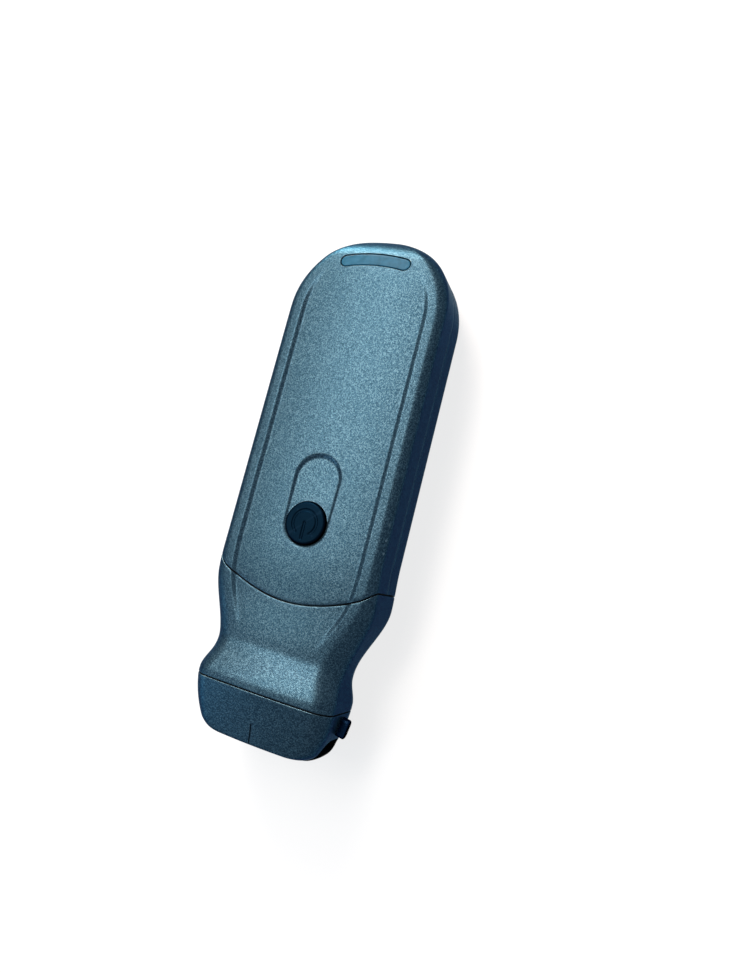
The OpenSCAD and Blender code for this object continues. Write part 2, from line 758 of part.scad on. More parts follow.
module front_shell() {
    collar_z = front_depth - wall - collar_t;
    recess_top = face_z(button_y);
    recess_tilt = atan((recess_far - recess_near) / recess_len);
    boss_z = frame_z + frame_t;
    color(paint) placed() difference() {
        union() {
            half_shell(front_columns, 1);
            translate([0, button_y, collar_z])
                linear_extrude(collar_t + wall / 4) stadium(recess_len - hole_r, hole_r + collar_w);
            for (p = screw_places)
                translate([p[0], p[1], boss_z])
                    cylinder(h = front_h(p[1], wall) - front_crown / 2 + wall / 4 - boss_z, r = boss_r);
            for (x = [-1, 1])
                translate([x * (ind_board_w / 2 - ind_post_r), window_y, indicator_z + ind_board_t])
                    cylinder(h = front_h(window_y, wall) + wall / 4 - indicator_z - ind_board_t, r = ind_post_r);
        }
        translate([0, button_y, collar_z - over])
            cylinder(h = recess_top - collar_z + 2 * over, r = hole_r);
        translate([0, button_y, recess_top - recess_near - hole_chamfer])
            cylinder(h = hole_chamfer + over, r1 = hole_r, r2 = hole_r + hole_chamfer + over);
        translate([0, button_y, recess_top - recess_near])
            rotate([-recess_tilt, 0, 0]) flared_stadium(recess_len - hole_r, hole_r, over, recess_flare);
        for (p = screw_places)
            translate([p[0], p[1], boss_z - over])
                cylinder(h = screw_bite + 2 * over, r = screw_r + fit_gap / 3);
        linear_extrude(front_depth + over) window_outline(window_r);
    }
}

module rear_shell() {
    color(paint) placed() difference() {
        union() {
            half_shell(back_columns, -1);
            for (p = screw_places)
                translate([p[0], p[1], back_inner_z - wall / 4])
                    cylinder(h = frame_z - back_inner_z + wall / 4, r = boss_r);
        }
        for (p = screw_places) {
            translate([p[0], p[1], -back_depth - over])
                cylinder(h = screw_head_z + screw_head_h + back_depth + over, r = plug_r + fit_gap / 3);
            translate([p[0], p[1], -back_depth]) cylinder(h = back_depth, r = screw_r + fit_gap);
        }
    }
}

// U-shaped band that seals the parting line from inside
module shell_seal() {
    start_y = seam_y + seam_sag + lip_len + 4 * fit_gap;
    e = wall + fit_gap;
    end_y = body_len - e;
    rows = [for (u = [0, 0.5, 1]) start_y + u * (body_len - tail_plan_len - start_y)];
    curve = [
        for (i = [1:tail_steps - 1]) end_y - (tail_plan_len - e) * (1 - sin(90 * i / tail_steps))
    ];
    ys = concat(rows, curve);
    function outline(inset) = let (shift = inset - e) concat(
        [for (y = ys) [half_w(y - shift, inset), y - shift]],
        [[0, body_len - inset]],
        [for (i = [len(ys) - 1:-1:0]) [-half_w(ys[i] - shift, inset), ys[i] - shift]]
    );
    outside = outline(e);
    inside = outline(e + seal_t);
    color(dark_rubber) placed() translate([0, 0, -seal_h / 2])
        linear_extrude(seal_h)
            polygon(concat(outside, [for (i = [len(inside) - 1:-1:0]) inside[i]]));
}

// Loft from the nose seam over the waist to the U-shaped seam, with a lip into the grip
module neck_shell() {
    last = seam_y - seam_t / 2;
    lip_e = wall + fit_gap;
    outside = [for (y = neck_rows) full_section(y, 0)];
    lip = [
        full_section(last, lip_e),
        full_section(seam_y + lip_len, lip_e),
        full_section(seam_y + lip_len, lip_e + lip_t)
    ];
    inside = [for (i = [len(neck_rows) - 2:-1:0]) full_section(neck_rows[i], wall)];
    color(paint) placed() ring_loft(concat(outside, lip, inside));
}

// Gasket between the end faces of the neck and of the grip
module neck_seal() {
    a = seam_y - seam_t / 2 + seam_fit;
    b = seam_y + seam_t / 2 - seam_fit;
    color(dark_rubber) placed()
        ring_loft([
            full_section(a, seam_recess), full_section(b, seam_recess),
            full_section(b, wall), full_section(a, wall)
        ]);
}

// Cup with the lens's opening cut through its end and round its corners
module nose_cap() {
    slope = atan((head_front - rim_front) / nose_len);
    cut = fit_gap / 3;
    color(paint) placed() difference() {
        plug_loft(concat(
            [for (y = nose_rows) full_section(y, 0)],
            [full_section(nose_end, nose_wall)],
            [for (y = nose_inner_rows) full_section(y, nose_wall)]
        ));
        translate([-head_w / 2, 0, 0]) rotate([90, 0, 90])
            linear_extrude(head_w) open_slot(lens_wrap + cut, lens_h + 2 * cut, lens_corner_r + cut);
        translate([0, 0, rim_front]) rotate([slope, 0, 0])
            translate([-mark_w / 2, -over, -mark_depth]) cube([mark_w, mark_len + over, mark_depth + over]);
        marker_body(cut);
    }
}

// Gasket in the seam between the nose cap and the neck
module nose_seal() {
    a = nose_len - seam_t / 2;
    b = nose_len + seam_t / 2;
    color(dark_rubber) placed()
        ring_loft([
            full_section(a, seam_recess), full_section(b, seam_recess),
            full_section(b, nose_wall), full_section(a, nose_wall)
        ]);
}

// Rounded bar on the +x side of the nose, grown by g for its seat
module marker_body(g) {
    mid_y = nose_len - seam_t / 2 - marker_off - marker_len / 2;
    side_x = half_w(mid_y, 0);
    lean = atan((half_w(mid_y + marker_len / 2, 0) - half_w(mid_y - marker_len / 2, 0)) / marker_len);
    r = marker_h / 2 + g;
    translate([side_x - marker_seat - g, mid_y, 0]) rotate([0, 0, -lean]) rotate([0, 90, 0])
        translate([0, -(marker_len - marker_h) / 2, 0])
            linear_extrude(marker_seat + marker_proud + g) stadium(marker_len - marker_h, r);
}

module orientation_marker() {
    color(dark_rubber) placed() marker_body(0);
}

// Array head

// Half width of the nose's section at y, at the level z
function width_at(y, z) =
    let (
        a = half_w(y, 0),
        h = z > 0 ? front_h(y, 0) : back_h(y, 0),
        r = edge_r(z > 0 ? front_r_track : back_r_track, y, 0, a, h),
        d = min(r, max(0, abs(z) - h + r))
    )
    a - r + sqrt(r * r - d * d);

// Outline of the lens at the level z: out round the nose's corners and back along their inside
function lens_outline(z) =
    let (
        proud = lens_proud * sqrt(1 - pow(2 * z / lens_h, 2)),
        d = max(0, abs(z) - lens_h / 2 + lens_corner_r),
        tip = lens_wrap - lens_corner_r + sqrt(pow(lens_corner_r, 2) - d * d),
        wrap = [for (u = lens_wrap_shares) rim_corner_r + u * (tip - rim_corner_r)],
        corner = [
            for (w = lens_angles)
                let (y = rim_corner_r * (1 - cos(w))) [width_at(y, z) + proud * sin(w), y - proud * cos(w)]
        ],
        side = [
            for (i = [0:len(wrap) - 1])
                [width_at(wrap[i], z) + proud * (1 - ease(lens_wrap_shares[i])), wrap[i]]
        ],
        inner = [for (i = [len(wrap) - 1:-1:0]) [half_w(wrap[i], nose_wall + fit_gap / 3), wrap[i]]],
        right = concat(corner, side, inner, [[half_w(lens_depth, nose_wall + fit_gap / 3), lens_depth]]),
        n = len(right)
    )
    concat(
        [for (p = right) [p[0], p[1], z]],
        [for (i = [n - 1:-1:0]) [-right[i][0], right[i][1], z]]
    );

// Soft lens that covers the end of the nose, wraps round its corners and bulges across its height
module acoustic_lens() {
    color(dark_rubber) placed()
        plug_loft([for (u = lens_levels) lens_outline(-u * lens_h / 2)]);
}

module matching_layer() {
    color([0.75, 0.70, 0.55]) placed()
        translate([0, lens_depth, 0]) bar_y(stack_w, stack_h, matching_t);
}

// Row of crystal bars with a saw cut between each pair
module piezo_array() {
    pitch = stack_w / piezo_count;
    color([0.80, 0.76, 0.62]) placed()
        translate([-stack_w / 2 + pitch / 2, lens_depth + matching_t, 0])
            for (i = [0:piezo_count - 1])
                translate([i * pitch, 0, 0]) bar_y(pitch - kerf, stack_h, piezo_t);
}

module backing_block() {
    color([0.20, 0.20, 0.22]) placed()
        translate([0, lens_depth + matching_t + piezo_t, 0]) bar_y(stack_w, stack_h, backing_t);
}

// Sleeve round the acoustic stack, with a flange at its back
module array_carrier() {
    w = stack_w + 2 * (fit_gap + carrier_wall);
    h = stack_h + 2 * (fit_gap + carrier_wall);
    flange_y = lens_depth + carrier_len - carrier_flange_t;
    color([0.55, 0.57, 0.60]) placed() difference() {
        union() {
            translate([0, lens_depth, 0]) plate_y(w, h, carrier_len, carrier_r);
            translate([0, flange_y, 0]) plate_y(
                w + 2 * carrier_flange_w, h + 2 * carrier_flange_w,
                carrier_flange_t, carrier_r + carrier_flange_w
            );
        }
        translate([0, lens_depth - over, 0])
            bar_y(stack_w + 2 * fit_gap, stack_h + 2 * fit_gap, carrier_len + 2 * over);
    }
}

// Flexible circuit from the backing block to the connector on the main board
module array_flex() {
    from_y = lens_depth + matching_t + piezo_t + backing_t;
    to_y = board_start_y + board_edge_gap;
    rise = board_top + conn_h / 2;
    steps = 10;
    ys = [for (i = [0:steps]) from_y + (to_y - from_y) * i / steps];
    function mid_z(y) = rise * ease((y - from_y) / (to_y - from_y));
    color([0.72, 0.42, 0.14]) placed()
        translate([-flex_w / 2, 0, 0]) rotate([90, 0, 90])
            linear_extrude(flex_w)
                polygon(concat(
                    [for (y = ys) [y, mid_z(y) - flex_t / 2]],
                    [for (i = [steps:-1:0]) [ys[i], mid_z(ys[i]) + flex_t / 2]]
                ));
}

// Power button and its switch

// Cap with a flange below the wall and a nub that meets the switch
module power_button() {
    top = face_z(button_y) + button_proud;
    color(dark_rubber) placed() translate([0, button_y, 0])
        rotate_extrude()
            polygon(concat(
                [[0, nub_z], [nub_r, nub_z], [nub_r, flange_top - flange_t]],
                [[button_r + flange_over, flange_top - flange_t], [button_r + flange_over, flange_top]],
                [[button_r, flange_top]],
                [for (w = [0:15:90])
                    [button_r - button_edge_r * (1 - cos(w)), top - button_edge_r * (1 - sin(w))]],
                [[0, top]]
            ));
}

module button_seal() {
    r = button_r + flange_over + button_gap;
    color([0.35, 0.36, 0.38]) placed()
        translate([0, button_y, flange_top + stack_gap / 2 - flange_t])
            difference() {
                cylinder(h = flange_t, r = r + button_seal_w);
                translate([0, 0, -over]) cylinder(h = flange_t + 2 * over, r = r);
            }
}

module power_switch() {
    color([0.15, 0.15, 0.16]) placed() difference() {
        chip(0, button_y, board_top, switch_side, switch_side, switch_h);
        translate([0, button_y, board_top + switch_h - plunger_seat - button_travel])
            cylinder(h = switch_h, r = plunger_r + fit_gap / 2);
    }
}

module switch_plunger() {
    z = board_top + switch_h - plunger_seat + stack_gap / 4;
    color([0.85, 0.85, 0.82]) placed()
        translate([0, button_y, z]) cylinder(h = board_top + switch_h + plunger_out - z, r = plunger_r);
}

// Indicator

// Clear window with its face parallel to the sloping housing, and a flange behind the wall
module indicator_window() {
    near_y = window_y - window_r;
    far_y = window_y + window_r;
    slope = atan((front_h(far_y, 0) - front_h(near_y, 0)) / (far_y - near_y));
    flange_z = front_h(window_y, wall) - window_flange_drop - window_flange_t;
    reach = window_reach + 2 * window_r;
    color([0.45, 0.62, 0.75]) placed() {
        intersection() {
            translate([0, 0, flange_z])
                linear_extrude(front_depth - flange_z) window_outline(window_r - fit_gap);
            translate([0, window_y, front_h(window_y, 0) - window_recess]) rotate([slope, 0, 0])
                translate([-reach, -reach, -front_depth]) cube([2 * reach, 2 * reach, front_depth]);
        }
        translate([0, 0, flange_z])
            linear_extrude(window_flange_t) window_outline(window_r + window_flange_w);
    }
}

module indicator_board() {
    color([0.06, 0.28, 0.18]) placed()
        translate([0, window_y, indicator_z]) plate(ind_board_w, ind_board_len, ind_board_t, ind_post_r);
}

module indicator_leds() {
    pitch = 2 * window_reach / led_count;
    color([0.92, 0.90, 0.70]) placed()
        for (i = [0:led_count - 1])
            chip((i - (led_count - 1) / 2) * pitch, window_y, indicator_z + ind_board_t,
                led_side, led_side, led_h);
}

// Electronics

// Board with chamfered tail corners, notches for the shell bosses and four screw holes
module main_board() {
    w = board_w / 2;
    color([0.05, 0.25, 0.16]) placed() translate([0, 0, board_z])
        linear_extrude(board_t) difference() {
            polygon([
                [-w, board_start_y], [w, board_start_y],
                [w, board_end_y - board_chamfer], [w - board_chamfer, board_end_y],
                [board_chamfer - w, board_end_y], [-w, board_end_y - board_chamfer]
            ]);
            for (p = screw_places) translate(p) circle(boss_r + 2 * fit_gap);
            for (p = board_screw_places) translate(p) circle(screw_r + fit_gap);
        }
}

module front_end_chips() {
    color([0.10, 0.10, 0.11]) placed()
        for (x = [-fe_chip_x, fe_chip_x], y = fe_chip_ys)
            chip(x, y, board_top, fe_chip_side, fe_chip_side, chip_t);
}

module processor_chip() {
    color([0.12, 0.12, 0.13]) placed() chip(0, cpu_y, board_top, cpu_side, cpu_side, chip_t);
}

module memory_chips() {
    color([0.10, 0.10, 0.11]) placed()
        for (x = [-mem_x, mem_x]) chip(x, cpu_y, board_top, mem_w, mem_len, chip_t);
}

module thermal_pad() {
    color([0.62, 0.66, 0.70]) placed()
        chip(0, cpu_y, board_top + chip_t, cpu_side, cpu_side, pad_t);
}

// Plate on four feet over the processor
module heat_spreader() {
    color([0.75, 0.76, 0.78]) placed() {
        translate([0, cpu_y, spreader_z]) plate(spreader_w, spreader_len, spreader_t, spreader_foot_r);
        for (x = [-1, 1], y = [-1, 1])
            translate([
                x * (spreader_w / 2 - spreader_foot_r),
                cpu_y + y * (spreader_len / 2 - spreader_foot_r),
                board_top
            ])
                cylinder(h = spreader_z - board_top + spreader_t, r = spreader_foot_r);
    }
}

// Can that is open towards the board
module rf_shield() {
    color([0.80, 0.81, 0.82]) placed() difference() {
        chip(0, shield_y, board_top, shield_w, shield_len, shield_h);
        chip(0, shield_y, board_top - over, shield_w - 2 * shield_t, shield_len - 2 * shield_t,
            shield_h - shield_t + over);
    }
}

module antenna() {
    color([0.88, 0.87, 0.83]) placed()
        chip(0, board_end_y - antenna_off - antenna_len / 2, board_top, antenna_w, antenna_len, antenna_h);
}

// Array connector at the neck end, and the battery connector beside the switch
module board_connectors() {
    conn_y = board_start_y + board_edge_gap + conn_len / 2;
    color([0.90, 0.88, 0.80]) placed() {
        chip(0, conn_y, board_top, conn_w, conn_len, conn_h);
        chip(0, board_place(batt_conn_share), board_top, batt_conn_w, conn_len, conn_h);
    }
}

// Frame, battery and charging

// Plate with rails that hold the battery, standoffs for the board and ears for the shell screws
module inner_frame() {
    ear_r = boss_r;
    rail_in = battery_w / 2 + stack_gap;
    rail_len = battery_len + 2 * (stack_gap + rail_t);
    plate_len = screw_tail_y - screw_head_y;
    color([0.30, 0.31, 0.33]) placed() difference() {
        union() {
            translate([0, (screw_tail_y + screw_head_y) / 2, frame_z])
                plate(2 * (screw_x + ear_r), plate_len + 2 * ear_r, frame_t, ear_r);
            for (x = [-1, 1])
                chip(x * (rail_in + rail_t / 2), battery_y, battery_z, rail_t, rail_len,
                    battery_t + stack_gap + frame_t);
            for (y = [-1, 1])
                chip(0, battery_y + y * (battery_len + rail_t + 2 * stack_gap) / 2, battery_z,
                    2 * rail_in + rail_t, rail_t, battery_t + stack_gap + frame_t);
            for (p = board_screw_places)
                translate([p[0], p[1], frame_z]) cylinder(h = frame_t + standoff_h, r = standoff_r);
        }
        for (y = [-1, 1])
            chip(0, battery_y + y * (battery_len / 2 - frame_slot_w), frame_z - over,
                frame_slot_w * 2, frame_slot_w, frame_t + 2 * over);
        for (p = screw_places)
            translate([p[0], p[1], frame_z - over]) cylinder(h = frame_t + 2 * over, r = screw_r + fit_gap);
        for (p = board_screw_places)
            translate([p[0], p[1], board_z - board_screw_bite - stack_gap])
                cylinder(h = frame_t + standoff_h + over, r = screw_r + fit_gap / 3);
    }
}

module board_screws() {
    color([0.70, 0.71, 0.73]) placed()
        for (p = board_screw_places)
            translate([p[0], p[1], board_top]) mirror([0, 0, 1])
                screw(-screw_head_h, board_t + board_screw_bite);
}

module shell_screws() {
    shank = screw_land + frame_t + screw_bite;
    color([0.60, 0.61, 0.63]) placed()
        for (p = screw_places) translate([p[0], p[1], 0]) screw(screw_head_z, shank);
}

// Soft plugs over the shell screws, just below the surface of the back
module screw_plugs() {
    color([0.10, 0.13, 0.15]) placed()
        for (p = screw_places)
            translate([p[0], p[1], plug_recess - back_depth]) cylinder(h = plug_t, r = plug_r);
}

// Pouch with a folded protection strip at its neck end
module battery() {
    color([0.60, 0.62, 0.66]) placed() difference() {
        translate([0, battery_y, battery_z]) plate(battery_w, battery_len, battery_t, rail_t);
        chip(0, battery_y - battery_len / 2, battery_z + battery_t / 2,
            battery_w + over, 2 * battery_strip, battery_t);
    }
}

module charge_coil() {
    color([0.72, 0.42, 0.22]) placed()
        translate([0, battery_y, coil_z]) difference() {
            cylinder(h = coil_t, r = coil_r);
            translate([0, 0, -over]) cylinder(h = coil_t + 2 * over, r = coil_bore_r);
        }
}

module charge_ferrite() {
    color([0.16, 0.15, 0.15]) placed()
        translate([0, battery_y, ferrite_z]) plate(ferrite_side, ferrite_side, ferrite_t, rail_t);
}

front_shell();
rear_shell();
shell_seal();
neck_shell();
neck_seal();
nose_cap();
nose_seal();
orientation_marker();
acoustic_lens();
matching_layer();
piezo_array();
backing_block();
array_carrier();
array_flex();
power_button();
button_seal();
power_switch();
switch_plunger();
indicator_window();
indicator_board();
indicator_leds();
main_board();
front_end_chips();
processor_chip();
memory_chips();
thermal_pad();
heat_spreader();
rf_shield();
antenna();
board_connectors();
inner_frame();
board_screws();
shell_screws();
screw_plugs();
battery();
charge_coil();
charge_ferrite();
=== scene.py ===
import json
import math

import bmesh
import bpy
import numpy as np
from mathutils import Matrix, Vector


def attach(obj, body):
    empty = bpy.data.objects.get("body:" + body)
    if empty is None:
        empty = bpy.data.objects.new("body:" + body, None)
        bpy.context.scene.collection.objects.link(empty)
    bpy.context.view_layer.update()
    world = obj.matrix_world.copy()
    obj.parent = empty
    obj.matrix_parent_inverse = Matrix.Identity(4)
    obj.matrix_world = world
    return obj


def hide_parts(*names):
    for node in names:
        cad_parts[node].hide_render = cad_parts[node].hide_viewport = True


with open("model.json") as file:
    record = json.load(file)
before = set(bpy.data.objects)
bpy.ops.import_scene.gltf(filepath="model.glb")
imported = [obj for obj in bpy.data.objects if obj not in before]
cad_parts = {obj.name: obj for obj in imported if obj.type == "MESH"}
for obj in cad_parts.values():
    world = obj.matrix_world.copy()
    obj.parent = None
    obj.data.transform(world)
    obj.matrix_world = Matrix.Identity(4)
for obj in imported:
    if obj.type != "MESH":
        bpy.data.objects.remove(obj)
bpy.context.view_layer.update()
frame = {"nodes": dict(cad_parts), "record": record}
nodes = frame["nodes"]

# The object's sizes are in millimetres, with y from the nose rim towards the tail and z from the
# parting plane, until place() sets them in the frame in metres. Materials, floor and lamps are in metres.
MM = 0.001
# Grip: outline, wall, edges and the crown of its front
BODY_LEN, BODY_W = 159.3, 52.0
FRONT_DEPTH, BACK_DEPTH, WALL = 12.0, 13.0, 2.0
FRONT_EDGE_R, TAIL_EDGE_R, BACK_EDGE_R, FRONT_CROWN = 2.8, 5.5, 6.5, 1.0
# Tail: rounding in plan and from the side, and the fall of its front
TAIL_PLAN_LEN, TAIL_SIDE_LEN, PLAN_POWER, SIDE_POWER = 26.0, 9.0, 2.1, 2.2
TAIL_DROP, TAIL_DROP_LEN = 1.6, 34.0
# Dish in the front face
DISH_DEPTH, DISH_SLOPE_W, DISH_RIDGE_W = 0.75, 1.9, 2.0
DISH_START_Y, DISH_FULL_Y, DISH_FADE_Y, DISH_END_Y = 28.7, 44.7, 130.7, 147.7
# Head, waist, throat and shoulder
NOSE_LEN, HEAD_W, HEAD_FRONT, HEAD_BACK = 15.1, 45.2, 14.4, 12.8
FLARE_Y, WAIST_Y, WAIST_W, THROAT_Y, THROAT_DEPTH = 16.7, 23.7, 42.4, 27.7, 10.9
SHOULDER_Y, SHOULDER_OUT, GRIP_Y = 46.2, 0.5, 58.7
# Rim of the nose, and edge radii towards it
RIM_W, RIM_FRONT, RIM_BACK, RIM_CORNER_R, RIM_EDGE_R = 35.6, 10.0, 9.0, 3.2, 0.8
RIM_FRONT_R, RIM_BACK_R, HEAD_FRONT_R, HEAD_BACK_R, THROAT_FRONT_R = 4.5, 6.5, 5.5, 10.0, 6.5
NOSE_WALL = 1.8
# U-shaped seam, the lip that enters the grip, and the parting line
SEAM_Y, SEAM_SAG, SEAM_FADE_LEN, SEAM_T, SEAM_RECESS, SEAM_FIT = 41.7, 9.0, 34.0, 0.4, 0.45, 0.14
LIP_LEN, LIP_T, FIT_GAP = 3.5, 1.2, 0.15
PARTING_GAP = 0.12
# Centre mark and the marker on the side of the nose
MARK_LEN, MARK_W, MARK_DEPTH = 6.5, 0.5, 0.35
MARKER_LEN, MARKER_H, MARKER_PROUD, MARKER_SEAT, MARKER_OFF = 5.8, 3.2, 2.2, 0.9, 0.8
# Button, its flange and nub, and the finger recess
BUTTON_Y, BUTTON_R, BUTTON_PROUD, BUTTON_GAP, BUTTON_EDGE_R = 65.3, 6.4, 0.8, 0.25, 0.7
FLANGE_OVER, FLANGE_T, FLANGE_TOP = 1.2, 1.0, 8.2
NUB_R, NUB_Z = 1.5, 6.6
RECESS_LEN, RECESS_NEAR, RECESS_FAR, RECESS_FLARE = 20.0, 0.35, 0.75, 2.0
# Status window
WINDOW_Y, WINDOW_REACH, WINDOW_R, WINDOW_DROOP = 149.5, 9.74, 2.0, 0.9
WINDOW_RECESS, WINDOW_FLANGE_W, WINDOW_FLANGE_T, WINDOW_FLANGE_DROP = 0.12, 0.8, 0.6, 0.7
# Lens, and the plugs of the shell screws
LENS_PROUD, LENS_H, LENS_WRAP, LENS_CORNER_R, LENS_DEPTH = 0.6, 10.4, 7.0, 3.0, 2.4
SCREW_X, SCREW_YS, PLUG_R = 18.3, (58.3, 138.7), 2.0

HOLE_R = BUTTON_R + BUTTON_GAP
DISH_BAND_W = DISH_SLOPE_W + DISH_RIDGE_W
RIDGE_SHARE = DISH_RIDGE_W / DISH_BAND_W
ORIGIN_Y = (BODY_LEN - LENS_PROUD) / 2
NOSE_SEAM_EDGE = 0.2      # rounding of the shells' edges along the seams
BODY_SEAM_EDGE = 0.28
PARTING_EDGE = 0.15       # rounding of the shells' edges along the parting line
SEAM_DEPTH = 1.3          # depth to which a seam's walls are drawn with the outer skin
LEAST_R_SHARE = 0.2       # share of an edge radius that an inset section keeps
MOST_R_SHARE = 0.92       # largest share of a section's half size that an edge radius takes
MOST_SLOPE_SHARE = 0.4    # largest share of the flat that the dish's slope and ridge take
TINY = 1e-6               # least divisor
QUARTER = math.pi / 2

WIDTH_TRACK = [[FLARE_Y, HEAD_W / 2], [WAIST_Y, WAIST_W / 2], [SHOULDER_Y, BODY_W / 2 + SHOULDER_OUT],
               [GRIP_Y, BODY_W / 2]]
FRONT_TRACK = [[FLARE_Y, HEAD_FRONT], [THROAT_Y, THROAT_DEPTH], [GRIP_Y, FRONT_DEPTH]]
BACK_TRACK = [[FLARE_Y, HEAD_BACK], [THROAT_Y, THROAT_DEPTH], [SHOULDER_Y, BACK_DEPTH]]
FRONT_R_TRACK = [[0, RIM_FRONT_R], [NOSE_LEN, HEAD_FRONT_R], [THROAT_Y, THROAT_FRONT_R],
                 [GRIP_Y, FRONT_EDGE_R], [DISH_FADE_Y, FRONT_EDGE_R], [BODY_LEN, TAIL_EDGE_R]]
BACK_R_TRACK = [[0, RIM_BACK_R], [NOSE_LEN, HEAD_BACK_R], [THROAT_Y, HEAD_BACK_R],
                [SHOULDER_Y, BACK_EDGE_R]]


# Laws of the outer form

def ease(u):
    c = np.clip(u, 0, 1)
    return c * c * (3 - 2 * c)


def eased(track, y):
    value = track[0][1] + 0 * y
    for (y0, v0), (y1, v1) in zip(track, track[1:]):
        value = value + (v1 - v0) * ease((y - y0) / (y1 - y0))
    return value


def end_share(y, end_y, length, power):
    u = np.clip((y - end_y + length) / length, 0, 1)
    return np.power(np.maximum(0, 1 - np.power(u, power)), 1 / power)


def rim_loss(y, r, e):
    q = np.maximum(r - e, 1e-9)
    c = np.clip((r - y) / q, 0, 1)
    return np.where(r > e, q * (1 - np.sqrt(1 - c * c)), 0)


def nose_share(y):
    return np.maximum(0, 1 - np.maximum(0, y) / NOSE_LEN)


def half_w(y, e):
    full = (eased(WIDTH_TRACK, y) - (HEAD_W - RIM_W) / 2 * nose_share(y) ** 2
            - rim_loss(y, RIM_CORNER_R, e) - e)
    return full * end_share(y, BODY_LEN - e, TAIL_PLAN_LEN - e, PLAN_POWER)


def tail_fall(y):
    return TAIL_DROP * np.maximum(0, (y - BODY_LEN + TAIL_DROP_LEN) / TAIL_DROP_LEN) ** 2


def front_h(y, e):
    full = (eased(FRONT_TRACK, y) - (HEAD_FRONT - RIM_FRONT) * nose_share(y)
            - rim_loss(y, RIM_EDGE_R, e) - tail_fall(y) - e)
    return full * end_share(y, BODY_LEN - e, TAIL_SIDE_LEN - e, SIDE_POWER)


def back_h(y, e):
    full = eased(BACK_TRACK, y) - (HEAD_BACK - RIM_BACK) * nose_share(y) - rim_loss(y, RIM_EDGE_R, e) - e
    return full * end_share(y, BODY_LEN - e, TAIL_SIDE_LEN - e, SIDE_POWER)


def edge_r(up, y, e, a, h):
    r = eased(FRONT_R_TRACK if up > 0 else BACK_R_TRACK, y)
    return np.minimum(np.maximum(r - e, LEAST_R_SHARE * r), MOST_R_SHARE * np.minimum(a, h))


def dish_share(y):
    return (ease((y - DISH_START_Y) / (DISH_FULL_Y - DISH_START_Y))
            * (1 - ease((y - DISH_FADE_Y) / (DISH_END_Y - DISH_FADE_Y))))


def dish_drop(away, band, y):
    """Depth of the dish at a distance from the rounded edge, past the ridge and the slope."""
    ridge = RIDGE_SHARE * band
    return DISH_DEPTH * dish_share(y) * ease((away - ridge) / np.maximum(band - ridge, TINY))


def sag_share(y):
    """Share of the seam's sag at y: full at the seam, none at the waist and far along the grip."""
    rise = ease((y - WAIST_Y) / (SEAM_Y - WAIST_Y))
    return np.where(y < SEAM_Y, rise, 1 - ease((y - SEAM_Y) / SEAM_FADE_LEN))


def recess_drop(x, y):
    """Depth of the finger recess at x, y: a floor that tilts down towards the tail inside sloped walls."""
    along = np.clip(y - BUTTON_Y, 0, RECESS_LEN - HOLE_R)
    away = np.hypot(x, y - BUTTON_Y - along)
    fall = (RECESS_FAR - RECESS_NEAR) / RECESS_LEN
    depth = RECESS_NEAR + fall * np.clip(y - BUTTON_Y, -HOLE_R, RECESS_LEN)
    slope = RECESS_FLARE * depth
    return depth * (1 - ease((away - HOLE_R) / slope))


def surface_point(c, s, up, y, e):
    """Points of the front or back for columns c (shares, 5 x n), sides s, places y and insets e."""
    a = half_w(y, e)
    h = front_h(y, e) if up > 0 else back_h(y, e)
    r = edge_r(up, y, e, a, h)
    band = np.minimum(DISH_BAND_W, MOST_SLOPE_SHARE * (a - r))
    x = c[0] * (a - r - band) + c[1] * band + c[2] * r
    z = c[3] * (h - r) + c[4] * r
    if up > 0:
        z = z - FRONT_CROWN * (x / np.maximum(a, TINY)) ** 2 * z / np.maximum(h, TINY)
        z = z - np.where(e < WALL, dish_drop(a - r - x, band, y), 0)
    return s * x, y, up * np.maximum(PARTING_GAP / 2, z), a


def bent_point(c, s, up, y, e):
    """Points of a section that is bent with the U of the seam, with the finger recess."""
    x, _, _, a = surface_point(c, s, up, y, 0 * e)
    shift = SEAM_SAG * sag_share(y) * (x / np.maximum(a, TINY)) ** 2
    x, y2, z, _ = surface_point(c, s, up, y + shift, e)
    if up > 0:
        z = z - np.where(e < WALL, recess_drop(x, y2), 0)
    return x, y2, z


def face_z(y):
    """Height of the dished front on the middle line, without the recess."""
    c = np.array([0.0, 0, 0, 1, 1])
    return float(surface_point(c, 1, 1, np.float64(y), np.float64(0))[2])


def columns(up, side_n, arc_n, slope_n, flat_n):
    """Shares of the columns from the side's middle to the middle line, one row per share."""
    cols = [[1, 1, 1, u, 0] for u in np.linspace(0, 1, side_n, endpoint=False)]
    cols += [[1, 1, math.cos(w), 1, math.sin(w)] for w in np.linspace(0, QUARTER, arc_n + 1)]
    if up > 0:
        cols += [[1, u, 0, 1, 1] for u in np.linspace(1, 1 - RIDGE_SHARE, slope_n // 2 + 1)[1:]]
        cols += [[1, u, 0, 1, 1] for u in np.linspace(1 - RIDGE_SHARE, 0, slope_n + 1)[1:]]
        cols += [[u, 0, 0, 1, 1] for u in np.linspace(1, 0, flat_n + 1)[1:]]
    else:
        cols += [[u, u, 0, 1, 1] for u in np.linspace(1, 0, flat_n + slope_n + 1)[1:]]
    return np.array(cols).T


def half_loop(cols, up, y, e):
    """Half section over the front from +x to -x, or back again under the back, with each y a row."""
    n = cols.shape[1]
    order = list(range(n)) + list(range(n - 2, -1, -1))
    side = np.array([up] * n + [-up] * (n - 1), float)
    c = cols[:, order][:, None, :]
    ys = np.asarray(y, float)[:, None] + 0 * side
    es = np.asarray(e, float)[:, None] + 0 * side
    x, y2, z = bent_point(c, side, up, ys, es)
    return np.stack([x, y2, z], -1)


